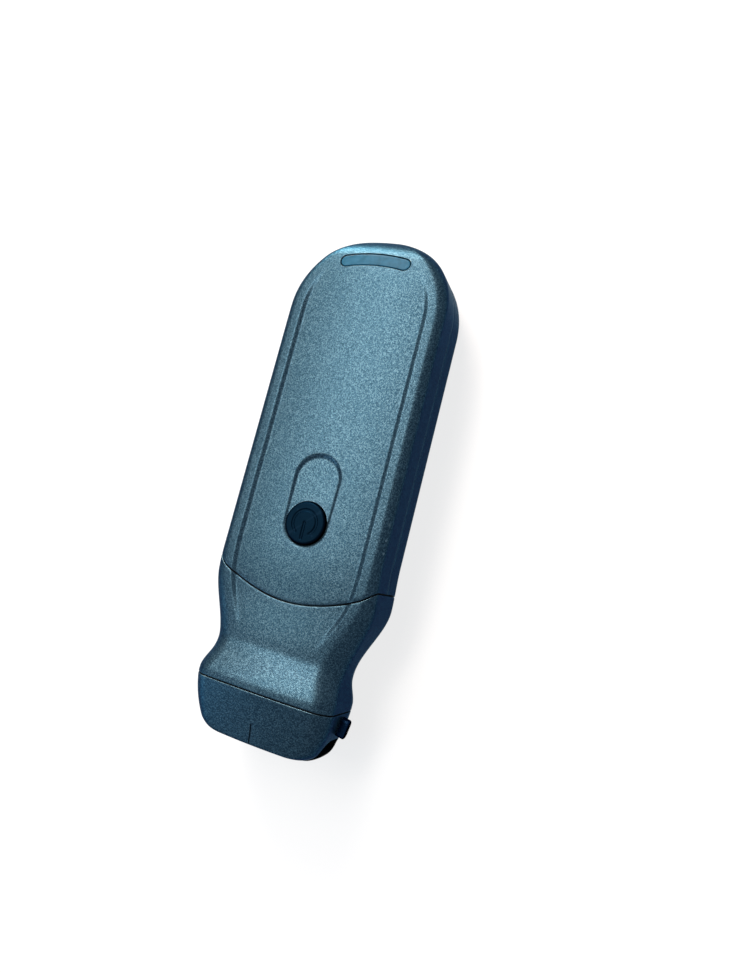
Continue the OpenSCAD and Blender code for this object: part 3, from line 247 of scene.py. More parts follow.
def parting_rim(loop, up, edge):
    """Rounds a half section's two ends in to the parting line: extra points before and after."""
    out = []
    for end in (0, -1):
        n = rim_normal(loop, end)
        pts = []
        for w in np.linspace(0, QUARTER, 4, endpoint=False):
            q = loop[:, end, :].copy()
            q[:, :2] -= n * (edge * (1 - math.sin(w)))
            q[:, 2] = up * (PARTING_GAP / 2 + edge * (1 - math.cos(w)))
            pts.append(q)
        out.append(pts)
    return out


def rim_normal(loop, end):
    """Outward direction in plan at a half section's end column."""
    p = loop[:, end, :2]
    t = np.gradient(p, axis=0)
    t /= np.maximum(np.linalg.norm(t, axis=1, keepdims=True), 1e-9)
    n = np.stack([t[:, 1], -t[:, 0]], -1)
    n *= np.where(n[:, :1] * p[:, :1] < 0, -1, 1)
    return n


# Meshes

SHARP_ANGLE = 35      # degrees between faces from which an edge stays sharp
WELD_DIST = 1e-7      # metres, within a piece as it is made
CUT_WELD_DIST = 2e-6  # metres, after it was cut


def place(verts):
    """From the object's millimetres to the frame's metres."""
    v = np.array(verts, float).reshape(-1, 3)
    v[:, 1] -= ORIGIN_Y
    v[:, 2] += BACK_DEPTH
    return v * MM


def weld(mesh, dist, angle=SHARP_ANGLE, turn=False):
    """Joins points closer than dist, turns the faces outward if asked, and shades the mesh smooth."""
    bm = bmesh.new()
    bm.from_mesh(mesh)
    bmesh.ops.remove_doubles(bm, verts=bm.verts, dist=dist)
    bmesh.ops.dissolve_degenerate(bm, edges=bm.edges, dist=dist)
    if turn:
        bmesh.ops.recalc_face_normals(bm, faces=bm.faces)
    bm.to_mesh(mesh)
    bm.free()
    mesh.polygons.foreach_set("use_smooth", [True] * len(mesh.polygons))
    mesh.set_sharp_from_angle(angle=math.radians(angle))


def make_piece(name, verts, faces, angle=SHARP_ANGLE):
    mesh = bpy.data.meshes.new(name)
    mesh.from_pydata(place(verts).tolist(), [], faces)
    mesh.validate()
    weld(mesh, WELD_DIST, angle, turn=True)
    obj = bpy.data.objects.new(name, mesh)
    bpy.context.scene.collection.objects.link(obj)
    return obj


def grid_faces(m, n, closed_rows=False, closed_cols=False):
    """Quads between m rows of n points."""
    faces = []
    for i in range(m if closed_rows else m - 1):
        k = (i + 1) % m
        for j in range(n if closed_cols else n - 1):
            l = (j + 1) % n
            faces.append((i * n + j, i * n + l, k * n + l, k * n + j))
    return faces


def ring_piece(name, loops, angle=SHARP_ANGLE, capped=False):
    """Closed band through loops of equal length, or a plug capped at both ends."""
    arr = np.stack(loops)
    m, n = arr.shape[:2]
    faces = grid_faces(m, n, closed_rows=not capped, closed_cols=True)
    if capped:
        faces += [tuple(range(n)), tuple((m - 1) * n + j for j in range(n))]
    return make_piece(name, arr.reshape(-1, 3), faces, angle)


def prism_faces(n):
    """Faces between two outlines of n points, and over both."""
    return grid_faces(2, n, closed_cols=True) + [tuple(range(n)), tuple(range(n, 2 * n))]


def subtract(obj, cutter):
    """Cuts the cutter out of the piece and removes it."""
    mod = obj.modifiers.new("cut", "BOOLEAN")
    mod.operation = "DIFFERENCE"
    mod.solver = "EXACT"
    mod.object = cutter
    bpy.context.view_layer.update()
    deps = bpy.context.evaluated_depsgraph_get()
    mesh = bpy.data.meshes.new_from_object(obj.evaluated_get(deps))
    obj.modifiers.clear()
    old = obj.data
    obj.data = mesh
    bpy.data.meshes.remove(old)
    mesh.name = obj.name
    bpy.data.objects.remove(cutter)


def revolve(name, profile, y, steps):
    """Solid of revolution about the vertical at (0, y); its (radius, z) pairs start and end on the axis."""
    pts = profile[1:-1]
    ang = np.linspace(0, 2 * math.pi, steps, endpoint=False)
    verts = [(r * math.cos(a), y + r * math.sin(a), z) for r, z in pts for a in ang]
    faces = grid_faces(len(pts), steps, closed_cols=True)
    pole, last = len(verts), (len(pts) - 1) * steps
    verts += [(0, y, profile[0][1]), (0, y, profile[-1][1])]
    faces += [(pole, (j + 1) % steps, j) for j in range(steps)]
    faces += [(pole + 1, last + j, last + (j + 1) % steps) for j in range(steps)]
    return make_piece(name, verts, faces)


def seam_rows(y, direction, edge):
    """Rows (y, e) of a shell's end: from deep in the seam round the edge, to the outer surface."""
    rows = [(y, SEAM_DEPTH), (y, 0.7), (y, edge * 1.6)]
    rows += [(y + direction * edge * (1 - math.cos(w)), edge * (1 - math.sin(w)))
             for w in np.linspace(0, QUARTER, 5)]
    return rows


# Housing

def dense_rows(stops, steps):
    """Places between stops, each stretch with its own step."""
    rows = []
    for (a, b), step in zip(zip(stops, stops[1:]), steps):
        n = max(1, int(round((b - a) / step)))
        rows += list(np.linspace(a, b, n, endpoint=False))
    return rows + [stops[-1]]


def shell_rows(coarse):
    """Rows (y, e) along a half of the grip: the seam's edge, the grip and the tail."""
    start = SEAM_Y + SEAM_T / 2
    stops = [start + BODY_SEAM_EDGE, 55, 88, BODY_LEN - TAIL_PLAN_LEN]
    run = dense_rows(stops, [1.2 * coarse, 0.4 * max(1, coarse), 1.6 * coarse])
    turns = np.linspace(0, QUARTER, int(64 / coarse), endpoint=False)
    tail = [BODY_LEN - TAIL_PLAN_LEN * (1 - math.sin(w)) for w in turns]
    return seam_rows(start, 1, BODY_SEAM_EDGE) + [(y, 0.0) for y in run[1:-1] + tail]


def half_shell(name, up, cols, inner_cols, rows):
    """Front or rear shell: outer skin, rounded parting edges and inner wall in one closed loop."""
    ys = [r[0] for r in rows]
    es = [r[1] for r in rows]
    outer = half_loop(cols, up, ys, es)
    first_rim, last_rim = parting_rim(outer, up, PARTING_EDGE)
    # the outer skin's own ends start above the rounded parting edge
    for end in (0, -1):
        outer[:, end, 2] = up * np.maximum(np.abs(outer[:, end, 2]), PARTING_GAP / 2 + PARTING_EDGE)
    tail_start = BODY_LEN - TAIL_PLAN_LEN
    shorter = (TAIL_PLAN_LEN - WALL) / TAIL_PLAN_LEN
    inner_ys = [y if y < tail_start else tail_start + (y - tail_start) * shorter for y in ys]
    inner = half_loop(inner_cols, up, inner_ys, [WALL] * len(ys))
    parts = [p[:, None, :] for p in first_rim] + [outer] + [p[:, None, :] for p in reversed(last_rim)]
    parts.append(inner[:, ::-1, :])
    loops = np.concatenate(parts, axis=1)
    m, n = loops.shape[:2]
    h = n - inner.shape[1]
    verts = loops.reshape(-1, 3).tolist()
    faces = grid_faces(m, n, closed_cols=True)
    faces.append(tuple(range(n - 1, -1, -1)))
    outer_pole, inner_pole = len(verts), len(verts) + 1
    pole_z = up * (PARTING_GAP / 2)
    verts += [(0, BODY_LEN, up * (PARTING_GAP / 2 + PARTING_EDGE)), (0, BODY_LEN - WALL, pole_z)]
    last = (m - 1) * n
    faces += [(last + j, last + j + 1, outer_pole) for j in range(h - 1)]
    faces += [(last + j, last + j + 1, inner_pole) for j in range(h, n - 1)]
    faces += [(last + n - 1, last, outer_pole, inner_pole),
              (last + h - 1, last + h, inner_pole, outer_pole)]
    return make_piece(name, verts, faces)


def build_front_shell():
    """Front shell with the button's hole, rounded at its mouth, and the window's opening."""
    cols = columns(1, 5, 22, 14, 56)
    inner_cols = columns(1, 2, 8, 3, 8)
    shell = half_shell("front_housing", 1, cols, inner_cols, shell_rows(1))
    top = face_z(BUTTON_Y) - RECESS_NEAR
    edge, mouth_angle, floor_z, over_z = 0.3, math.radians(62), top - 6, top + 3
    mouth = [(HOLE_R + edge * (1 - math.cos(w)), top - edge + edge * math.sin(w))
             for w in np.linspace(0, mouth_angle, 6)]
    mouth_r, mouth_z = mouth[-1]
    profile = [(0, floor_z), (HOLE_R, floor_z)] + mouth
    profile += [(mouth_r + 1.5, mouth_z + 0.8), (mouth_r + 1.5, over_z), (0, over_z)]
    subtract(shell, revolve("hole_cut", profile, BUTTON_Y, 160))
    subtract(shell, window_prism("window_cut", WINDOW_R, 4))
    weld(shell.data, CUT_WELD_DIST)
    return shell


def build_rear_shell():
    """Rear shell with the pockets of the screw plugs."""
    cols = columns(-1, 5, 20, 8, 22)
    inner_cols = columns(-1, 2, 8, 3, 8)
    shell = half_shell("rear_housing", -1, cols, inner_cols, shell_rows(1.8))
    r, edge = PLUG_R + FIT_GAP / 3, 0.2
    rises = [(0, -1), (r + edge + 0.8, -0.5), (r + edge * 0.7, 0.02), (r + edge * 0.25, edge * 0.45),
             (r, edge), (r, 4), (0, 4)]
    profile = [(radius, -BACK_DEPTH + rise) for radius, rise in rises]
    for i, (x, y) in enumerate([(sx, sy) for sx in (-SCREW_X, SCREW_X) for sy in SCREW_YS]):
        cutter = revolve(f"plug_cut_{i}", profile, y, 64)
        cutter.data.transform(Matrix.Translation((x * MM, 0, 0)))
        subtract(shell, cutter)
    weld(shell.data, CUT_WELD_DIST)
    return shell


def full_loop(cols_front, cols_back, y, e):
    front = half_loop(cols_front, 1, y, e)
    back = half_loop(cols_back, -1, y, e)
    return np.concatenate([front, back], axis=1)


RING_COLS = (columns(1, 5, 18, 12, 26), columns(-1, 5, 18, 10, 26))


def ring_loops(rows):
    arr = full_loop(*RING_COLS, [r[0] for r in rows], [r[1] for r in rows])
    return [arr[i] for i in range(arr.shape[0])]


def build_neck():
    """Neck with rounded seam edges, the lip that enters the grip, and its inner wall."""
    a = NOSE_LEN + SEAM_T / 2
    b = SEAM_Y - SEAM_T / 2
    head = seam_rows(a, 1, NOSE_SEAM_EDGE)
    tail = seam_rows(b, -1, BODY_SEAM_EDGE)[::-1]
    run = dense_rows([a + NOSE_SEAM_EDGE, 20, b - BODY_SEAM_EDGE], [0.3, 0.4])[1:-1]
    lip_e = WALL + FIT_GAP
    rows = head + [(y, 0.0) for y in run] + tail
    rows += [(b, lip_e), (SEAM_Y + LIP_LEN, lip_e), (SEAM_Y + LIP_LEN, lip_e + LIP_T)]
    rows += [(y, WALL) for y in np.linspace(b, a, 14)]
    return ring_piece("neck_housing", ring_loops(rows))


def build_neck_gasket():
    a, b = SEAM_Y - SEAM_T / 2 + SEAM_FIT, SEAM_Y + SEAM_T / 2 - SEAM_FIT
    rows = [(a, SEAM_RECESS), (b, SEAM_RECESS), (b, WALL), (a, WALL)]
    return ring_piece("neck_gasket", ring_loops(rows))


def build_nose_gasket():
    a, b = NOSE_LEN - SEAM_T / 2, NOSE_LEN + SEAM_T / 2
    rows = [(a, SEAM_RECESS + 0.1), (a + 0.1, SEAM_RECESS), (b - 0.1, SEAM_RECESS), (b, SEAM_RECESS + 0.1),
            (b, NOSE_WALL), (a, NOSE_WALL)]
    return ring_piece("nose_gasket", ring_loops(rows))


def slot_prism(name, length, height, r, reach):
    """Prism across the nose with the outline of the lens's slot."""
    turns = np.linspace(0, QUARTER, 12)
    pts = [(-2.0, -height / 2)]
    pts += [(length - r + r * math.sin(w), -height / 2 + r - r * math.cos(w)) for w in turns]
    pts += [(length - r + r * math.cos(w), height / 2 - r + r * math.sin(w)) for w in turns]
    pts += [(-2.0, height / 2)]
    verts = [(x, y, z) for x in (-reach, reach) for y, z in pts]
    return make_piece(name, verts, prism_faces(len(pts)))


def build_nose():
    """Nose cap with a rounded rim, the lens's slot, the marker's seat and the centre mark."""
    end = NOSE_LEN - SEAM_T / 2
    rows = [(RIM_CORNER_R * (1 - math.cos(w)), 0.0) for w in np.linspace(0, QUARTER, 26)]
    rows += [(y, 0.0) for y in np.linspace(RIM_CORNER_R, end - NOSE_SEAM_EDGE, 34)[1:-1]]
    rows += seam_rows(end, -1, NOSE_SEAM_EDGE)[::-1]
    rows += [(end, NOSE_WALL)]
    rows += [(y, NOSE_WALL) for y in np.linspace(end, RIM_CORNER_R, 6)[1:]]
    rows += [(NOSE_WALL + (RIM_CORNER_R - NOSE_WALL) * (1 - math.cos(w)), NOSE_WALL)
             for w in np.linspace(QUARTER, 0, 8)[1:]]
    nose = ring_piece("nose_housing", ring_loops(rows), capped=True)
    cut = FIT_GAP / 3
    subtract(nose, slot_prism("slot_cut", LENS_WRAP + cut, LENS_H + 2 * cut, LENS_CORNER_R + cut, HEAD_W))
    subtract(nose, marker_solid("marker_cut", cut, 0.0))
    subtract(nose, mark_cutter())
    weld(nose.data, CUT_WELD_DIST)
    return nose


def mark_cutter():
    """Groove of the centre mark, with sloped sides."""
    slope = math.atan((HEAD_FRONT - RIM_FRONT) / NOSE_LEN)
    w, d, over = MARK_W / 2, MARK_DEPTH, 0.6
    sec = [(-w * 0.55, -d), (w * 0.55, -d), (w * 1.25, 0.02), (w * 1.25 + 0.1, over),
           (-w * 1.25 - 0.1, over), (-w * 1.25, 0.02)]
    c, s = math.cos(slope), math.sin(slope)
    verts = [(x, t * c - h * s, RIM_FRONT + t * s + h * c) for t in (-1.0, MARK_LEN) for x, h in sec]
    return make_piece("mark_cut", verts, prism_faces(len(sec)))


def stadium_ring(length, r, steps=24):
    far, near = np.linspace(0, math.pi, steps), np.linspace(math.pi, 2 * math.pi, steps)
    pts = [(r * math.cos(w), length / 2 + r * math.sin(w)) for w in far]
    return pts + [(r * math.cos(w), -length / 2 + r * math.sin(w)) for w in near]


def marker_solid(name, grow, edge):
    """Rounded bar on the +x side of the nose; edge rounds its outer face."""
    mid_y = NOSE_LEN - SEAM_T / 2 - MARKER_OFF - MARKER_LEN / 2
    side_x = float(half_w(np.float64(mid_y), 0.0))
    near = float(half_w(np.float64(mid_y - MARKER_LEN / 2), 0.0))
    far = float(half_w(np.float64(mid_y + MARKER_LEN / 2), 0.0))
    lean = math.atan((far - near) / MARKER_LEN)
    r = MARKER_H / 2 + grow
    top = MARKER_PROUD + MARKER_SEAT + grow
    levels = [(0.0, 0.0), (top, 0.0)]
    if edge > 0:
        turns = np.linspace(0, QUARTER, 8)
        levels[1:] = [(top - edge + edge * math.sin(w), edge * (1 - math.cos(w))) for w in turns]
    loops = []
    for h, inset in levels:
        ring = stadium_ring(MARKER_LEN - MARKER_H, r - inset)
        loops.append([(h * math.cos(lean) + v * math.sin(lean) + side_x - MARKER_SEAT - grow,
                       -h * math.sin(lean) + v * math.cos(lean) + mid_y, u) for u, v in ring])
    return ring_piece(name, [np.array(l) for l in loops], capped=True)


# Lens

def width_at(y, z):
    """Half width of the housing at place y and height z."""
    a = half_w(y, 0.0)
    h = front_h(y, 0.0) if z > 0 else back_h(y, 0.0)
    r = edge_r(1 if z > 0 else -1, y, 0.0, a, h)
    d = np.minimum(r, np.maximum(0, abs(z) - h + r))
    return a - r + np.sqrt(r * r - d * d)


def lens_outline(z):
    """Outline of the lens at height z: bulged past the rim, with ends that wrap the sides."""
    t = min(1.0, abs(2 * z / LENS_H))
    proud = LENS_PROUD * math.sqrt(max(0.0, 1 - t * t))
    d = max(0.0, abs(z) - LENS_H / 2 + LENS_CORNER_R)
    tip = LENS_WRAP - LENS_CORNER_R + math.sqrt(max(0.0, LENS_CORNER_R ** 2 - d * d))
    shares = np.linspace(0, 1, 12)[1:]
    right = []
    for w in np.linspace(0, QUARTER, 20):
        y = RIM_CORNER_R * (1 - math.cos(w))
        right.append((float(width_at(np.float64(y), z)) + proud * math.sin(w), y - proud * math.cos(w)))
    for u in shares:
        y = RIM_CORNER_R + u * (tip - RIM_CORNER_R)
        right.append((float(width_at(np.float64(y), z)) + proud * (1 - float(ease(u))), y))
    inner_e = NOSE_WALL + FIT_GAP / 3
    for u in shares[::-1]:
        y = RIM_CORNER_R + u * (tip - RIM_CORNER_R)
        right.append((float(half_w(np.float64(y), inner_e)), y))
    right.append((float(half_w(np.float64(LENS_DEPTH), inner_e)), LENS_DEPTH))
    front = np.linspace(right[0][0], -right[0][0], 40)[1:-1]
    return np.array([(x, y, z) for x, y in right] + [(-x, y, z) for x, y in right[::-1]]
                    + [(x, -proud, z) for x in -front])


def build_lens():
    levels = [math.sin(w) * LENS_H / 2 for w in np.linspace(-QUARTER, QUARTER, 33)]
    return ring_piece("lens_face", [lens_outline(z) for z in levels], capped=True, angle=40)


# Button and window

def symbol_depth(x, y):
    """Depth of the power symbol's grooves on the cap: a broken ring and a bar across its gap."""
    ring_r, bar_len, half_line, depth = 3.8, 4.7, 0.42, 0.22
    gap_angle, gap_fade = 30, 8

    def line(away):
        return 1 - ease((away - half_line * 0.5) / (half_line * 0.8))
    gap = ease((np.abs(np.degrees(np.arctan2(x, -y))) - gap_angle) / gap_fade)
    bar_end = np.maximum(0, np.maximum(-y - bar_len, y - 0.1))
    return depth * np.maximum(line(np.abs(np.hypot(x, y) - ring_r)) * gap, line(np.hypot(x, bar_end)))


def build_button():
    """Domed cap with the symbol's grooves, a rounded edge, a flange and a nub."""
    top, dome = face_z(BUTTON_Y) + BUTTON_PROUD, 0.12
    flat_r, flange_r, symbol_r = BUTTON_R - BUTTON_EDGE_R, BUTTON_R + FLANGE_OVER, 5.2
    ang = np.linspace(0, 2 * math.pi, 180, endpoint=False)
    loops = []

    def add_loop(r, z):
        loops.append(np.stack([r * np.cos(ang), BUTTON_Y + r * np.sin(ang), 0 * ang + z], -1))
    for r in np.concatenate([np.linspace(0.08, symbol_r, 68), np.linspace(symbol_r, flat_r, 6)[1:]]):
        add_loop(r, top - dome * (r / BUTTON_R) ** 2 - symbol_depth(r * np.cos(ang), r * np.sin(ang)))
    edge_c = top - dome * (flat_r / BUTTON_R) ** 2 - BUTTON_EDGE_R
    for w in np.linspace(0, QUARTER, 9)[1:]:
        add_loop(flat_r + BUTTON_EDGE_R * math.sin(w), edge_c + BUTTON_EDGE_R * math.cos(w))
    flange_bottom = FLANGE_TOP - FLANGE_T
    for r, z in ((BUTTON_R, FLANGE_TOP), (flange_r, FLANGE_TOP), (flange_r, flange_bottom),
                 (NUB_R, flange_bottom), (NUB_R, NUB_Z)):
        add_loop(r, z)
    return ring_piece("button_cap", loops, capped=True)


def window_ring(r, steps=40, ends=14):
    """Outline of the window: a bar of half height r with round ends, bent along an arc."""
    bend = (WINDOW_REACH ** 2 + WINDOW_DROOP ** 2) / (2 * WINDOW_DROOP)
    half = math.asin(WINDOW_REACH / bend)

    def point(a, w):
        out, along = bend + r * math.cos(w), r * math.sin(w)
        return (out * math.sin(a) + along * math.cos(a),
                WINDOW_Y + out * math.cos(a) - along * math.sin(a) - bend)
    pts = [point(half * t, 0) for t in np.linspace(-1, 1, steps)]
    pts += [point(half, w) for w in np.linspace(0, math.pi, ends)[1:-1]]
    pts += [point(half * t, math.pi) for t in np.linspace(1, -1, steps)]
    pts += [point(-half, math.pi + w) for w in np.linspace(0, math.pi, ends)[1:-1]]
    return pts


def window_prism(name, r, z0):
    """Cutter for the window's opening, flared where it meets the housing's surface."""
    loops = [[(x, y, z0) for x, y in window_ring(r)]]
    for grow, drop in ((0.0, 0.35), (0.06, 0.16), (0.2, 0.0), (0.75, -0.35), (0.75, -2.5)):
        ring = window_ring(r + grow)
        loops.append([(x, y, float(skin_z(x, y)) - drop) for x, y in ring])
    return ring_piece(name, [np.array(l) for l in loops], capped=True)


def skin_z(x, y):
    """Height of the housing's front near the middle, without the recess."""
    y = np.float64(y)
    a, h = half_w(y, 0.0), front_h(y, 0.0)
    r = edge_r(1, y, 0.0, a, h)
    ax = abs(x)
    z = h if ax < a - r else h - r + math.sqrt(max(0.0, r * r - (ax - a + r) ** 2))
    z = z - FRONT_CROWN * (x / a) ** 2 * z / h
    return z - dish_drop(a - r - ax, min(DISH_BAND_W, MOST_SLOPE_SHARE * (a - r)), y)


def build_window():
    """Pane a little below the housing's surface, which it follows, with a flange inside."""
    flange_z = float(front_h(np.float64(WINDOW_Y), WALL)) - WINDOW_FLANGE_DROP - WINDOW_FLANGE_T
    shelf_z = flange_z + WINDOW_FLANGE_T
    r, flange_r = WINDOW_R - FIT_GAP, WINDOW_R + WINDOW_FLANGE_W
    loops = [[(x, y, z) for x, y in window_ring(radius)]
             for radius, z in ((flange_r, flange_z), (flange_r, shelf_z), (r, shelf_z))]
    edge = 0.3
    for w in np.linspace(0, QUARTER, 6):
        inset = edge * (1 - math.cos(w))
        loops.append([(x, y, float(skin_z(x, y)) - WINDOW_RECESS - edge * (1 - math.sin(w)))
                      for x, y in window_ring(r - inset)])
    for share in (0.75, 0.5, 0.25, 0.02):
        ring = window_ring((r - edge) * share)
        loops.append([(x, y, float(skin_z(x, y)) - WINDOW_RECESS) for x, y in ring])
    return ring_piece("window_pane", [np.array(l) for l in loops], capped=True)


# Materials

def new_material(name):
    """Material with only an output, a shader and object coordinates."""
    mat = bpy.data.materials.new(name)
    mat.use_nodes = True
    tree = mat.node_tree
    tree.nodes.clear()
    out = tree.nodes.new("ShaderNodeOutputMaterial")
    shader = tree.nodes.new("ShaderNodeBsdfPrincipled")
    tree.links.new(shader.outputs[0], out.inputs["Surface"])
    coords = tree.nodes.new("ShaderNodeTexCoord").outputs["Object"]
    return mat, tree, shader, coords


def noise(tree, coords, scale, detail=4.0, rough=0.6):
    node = tree.nodes.new("ShaderNodeTexNoise")
    node.inputs["Scale"].default_value = scale
    node.inputs["Detail"].default_value = detail
    node.inputs["Roughness"].default_value = rough
    tree.links.new(coords, node.inputs["Vector"])
    return node.outputs["Fac"]


def cells(tree, coords, scale):
    node = tree.nodes.new("ShaderNodeTexVoronoi")
    node.inputs["Scale"].default_value = scale
    tree.links.new(coords, node.inputs["Vector"])
    return node.outputs["Color"]


def remap(tree, value, lo, hi, to_lo, to_hi):
    node = tree.nodes.new("ShaderNodeMapRange")
    for key, v in (("From Min", lo), ("From Max", hi), ("To Min", to_lo), ("To Max", to_hi)):
        node.inputs[key].default_value = v
    tree.links.new(value, node.inputs["Value"])
    return node.outputs["Result"]


def ramp(tree, value, stops):
    node = tree.nodes.new("ShaderNodeValToRGB")
    elements = node.color_ramp.elements
    while len(elements) < len(stops):
        elements.new(0.5)
    for element, (pos, colour) in zip(elements, stops):
        element.position = pos
        element.color = (*colour, 1)
    tree.links.new(value, node.inputs["Fac"])
    return node.outputs["Color"]


def mix(tree, fac, a, b):
    node = tree.nodes.new("ShaderNodeMix")
    node.data_type = "RGBA"
    wanted = ("RGBA", "VALUE")
    for key, v in (("Factor", fac), ("A", a), ("B", b)):
        socket = next(s for s in node.inputs if s.name == key and s.enabled and s.type in wanted)
        if hasattr(v, "links"):
            tree.links.new(v, socket)
        else:
            socket.default_value = v if key == "Factor" else (*v, 1)
    return next(s for s in node.outputs if s.enabled)


def math_node(tree, op, a, b):
    node = tree.nodes.new("ShaderNodeMath")
    node.operation = op
    for i, v in enumerate((a, b)):
        if hasattr(v, "links"):
            tree.links.new(v, node.inputs[i])
        else:
            node.inputs[i].default_value = v
    return node.outputs[0]


def bump(tree, height, strength, distance):
    node = tree.nodes.new("ShaderNodeBump")
    node.inputs["Strength"].default_value = strength
    node.inputs["Distance"].default_value = distance
    tree.links.new(height, node.inputs["Height"])
    return node.outputs["Normal"]


def weighed(tree, a, share, b):
    """A share of a and the rest of b."""
    part = math_node(tree, "MULTIPLY", a, share)
    return math_node(tree, "ADD", part, math_node(tree, "MULTIPLY", b, 1 - share))


def edge_mask(tree, width=0.03):
    """1 where an edge stands out, 0 on flat and hollow places."""
    level = 0.52
    geo = tree.nodes.new("ShaderNodeNewGeometry")
    return remap(tree, geo.outputs["Pointiness"], level, level + width, 0, 1)


PAINT_DARK = (0.0036, 0.0105, 0.020)
PAINT_BASE = (0.0092, 0.0250, 0.0445)
PAINT_LIGHT = (0.033, 0.070, 0.106)
# Lighter teal for the edges: edge wear, and a painted highlight where rounded edges catch the light
PAINT_WEAR_AND_HIGHLIGHT = (0.080, 0.140, 0.185)
PAINT_EDGE_TINT = (0.25, 0.39, 0.50)
FLAKE_SCALE, FINE_SCALE = 4600, 4800
GRAIN_VARY, GRAIN_DEPTH = 0.25, 0.00004


def paint_material():
    """Metallic paint: dark teal under fine bright flakes, each tilted a little its own way."""
    mat, tree, shader, coords = new_material("housing_paint")
    split = tree.nodes.new("ShaderNodeSeparateColor")
    tree.links.new(cells(tree, coords, FLAKE_SCALE), split.inputs[0])
    fine = noise(tree, coords, FINE_SCALE, 1.0, 0.5)
    broad = noise(tree, coords, 60, 3.0)
    level = weighed(tree, split.outputs[0], 0.6, fine)
    colour = ramp(tree, level, [(0.15, PAINT_DARK), (0.5, PAINT_BASE), (0.85, PAINT_LIGHT)])
    colour = mix(tree, remap(tree, broad, 0.3, 0.7, 0, 0.25), colour, PAINT_BASE)
    # Edges turn lighter: partly edge wear, partly a painted highlight on rounded edges such as the button
    # hole's rim and the nose seam
    edge_lightening = math_node(tree, "MULTIPLY", edge_mask(tree, 0.06), remap(tree, broad, 0.35, 0.65, 0.2, 0.7))
    colour = mix(tree, edge_lightening, colour, PAINT_WEAR_AND_HIGHLIGHT)
    tree.links.new(colour, shader.inputs["Base Color"])
    shader.inputs["Metallic"].default_value = 0.85
    rough = remap(tree, split.outputs[1], 0, 1, 0.30, 0.43)
    tree.links.new(rough, shader.inputs["Roughness"])
    height = math_node(tree, "ADD", math_node(tree, "MULTIPLY", split.outputs[2], 0.5), fine)
    tree.links.new(bump(tree, height, 0.25, GRAIN_DEPTH), shader.inputs["Normal"])
    shader.inputs["Specular IOR Level"].default_value = 0.04
    shader.inputs["Specular Tint"].default_value = (*PAINT_EDGE_TINT, 1)
    return mat


def grained(name, base, rough, metallic=0.0, scale=900, strength=0.4, coat=0.0, wear=0.25, gloss=0.5,
            edge_tint=(1.0, 1.0, 1.0)):
    """Moulded or rolled finish: fine grain, slight colour drift, edges worn a little lighter."""
    mat, tree, shader, coords = new_material(name)
    fine = noise(tree, coords, scale, 3.0, 0.6)
    broad = noise(tree, coords, scale / 18, 3.0)
    light = tuple(min(1.0, c * (1 + GRAIN_VARY)) for c in base)
    dark = tuple(c * (1 - GRAIN_VARY) for c in base)
    colour = ramp(tree, weighed(tree, fine, 0.6, broad), [(0.3, dark), (0.5, base), (0.72, light)])
    edge_lightening = math_node(tree, "MULTIPLY", edge_mask(tree), wear)
    colour = mix(tree, edge_lightening, colour, tuple(min(1.0, c * 1.8 + 0.001) for c in base))
    tree.links.new(colour, shader.inputs["Base Color"])
    roughness = remap(tree, fine, 0.3, 0.7, max(0.05, rough - 0.08), min(1.0, rough + 0.08))
    tree.links.new(roughness, shader.inputs["Roughness"])
    shader.inputs["Metallic"].default_value = metallic
    shader.inputs["Coat Weight"].default_value = coat
    shader.inputs["Specular IOR Level"].default_value = gloss
    shader.inputs["Specular Tint"].default_value = (*edge_tint, 1)
    tree.links.new(bump(tree, fine, strength, GRAIN_DEPTH), shader.inputs["Normal"])
    return mat


def brushed(name, base, rough):
    """Rolled or brushed metal with fine streaks along the part."""
    mat, tree, shader, coords = new_material(name)
    mapping = tree.nodes.new("ShaderNodeMapping")
    mapping.inputs["Scale"].default_value = (1.0, 0.04, 1.0)
    tree.links.new(coords, mapping.inputs["Vector"])
    streak = noise(tree, mapping.outputs[0], 2200, 3.0)
    blotch = noise(tree, coords, 120, 3.0)
    dark = tuple(c * 0.8 for c in base)
    light = tuple(min(1, c * 1.08) for c in base)
    colour = ramp(tree, streak, [(0.3, dark), (0.7, light)])
    colour = mix(tree, remap(tree, blotch, 0.4, 0.7, 0, 0.3), colour, tuple(c * 0.85 for c in base))
    tree.links.new(colour, shader.inputs["Base Color"])
    tree.links.new(remap(tree, streak, 0.3, 0.7, rough - 0.06, rough + 0.1), shader.inputs["Roughness"])
    shader.inputs["Metallic"].default_value = 1.0
    tree.links.new(bump(tree, streak, 0.3, 0.00002), shader.inputs["Normal"])
    return mat


def window_material():
    """Smoke-blue pane with a faint mottled tint."""
    mat, tree, shader, coords = new_material("window_smoke")
    mottled = noise(tree, coords, 420, 3.0)
    colour = ramp(tree, mottled, [(0.3, (0.007, 0.044, 0.090)), (0.7, (0.013, 0.066, 0.134))])
    tree.links.new(colour, shader.inputs["Base Color"])
    tree.links.new(remap(tree, mottled, 0.3, 0.7, 0.16, 0.26), shader.inputs["Roughness"])
    tree.links.new(bump(tree, mottled, 0.1, 0.00003), shader.inputs["Normal"])
    shader.inputs["Specular IOR Level"].default_value = 0.02
    return mat


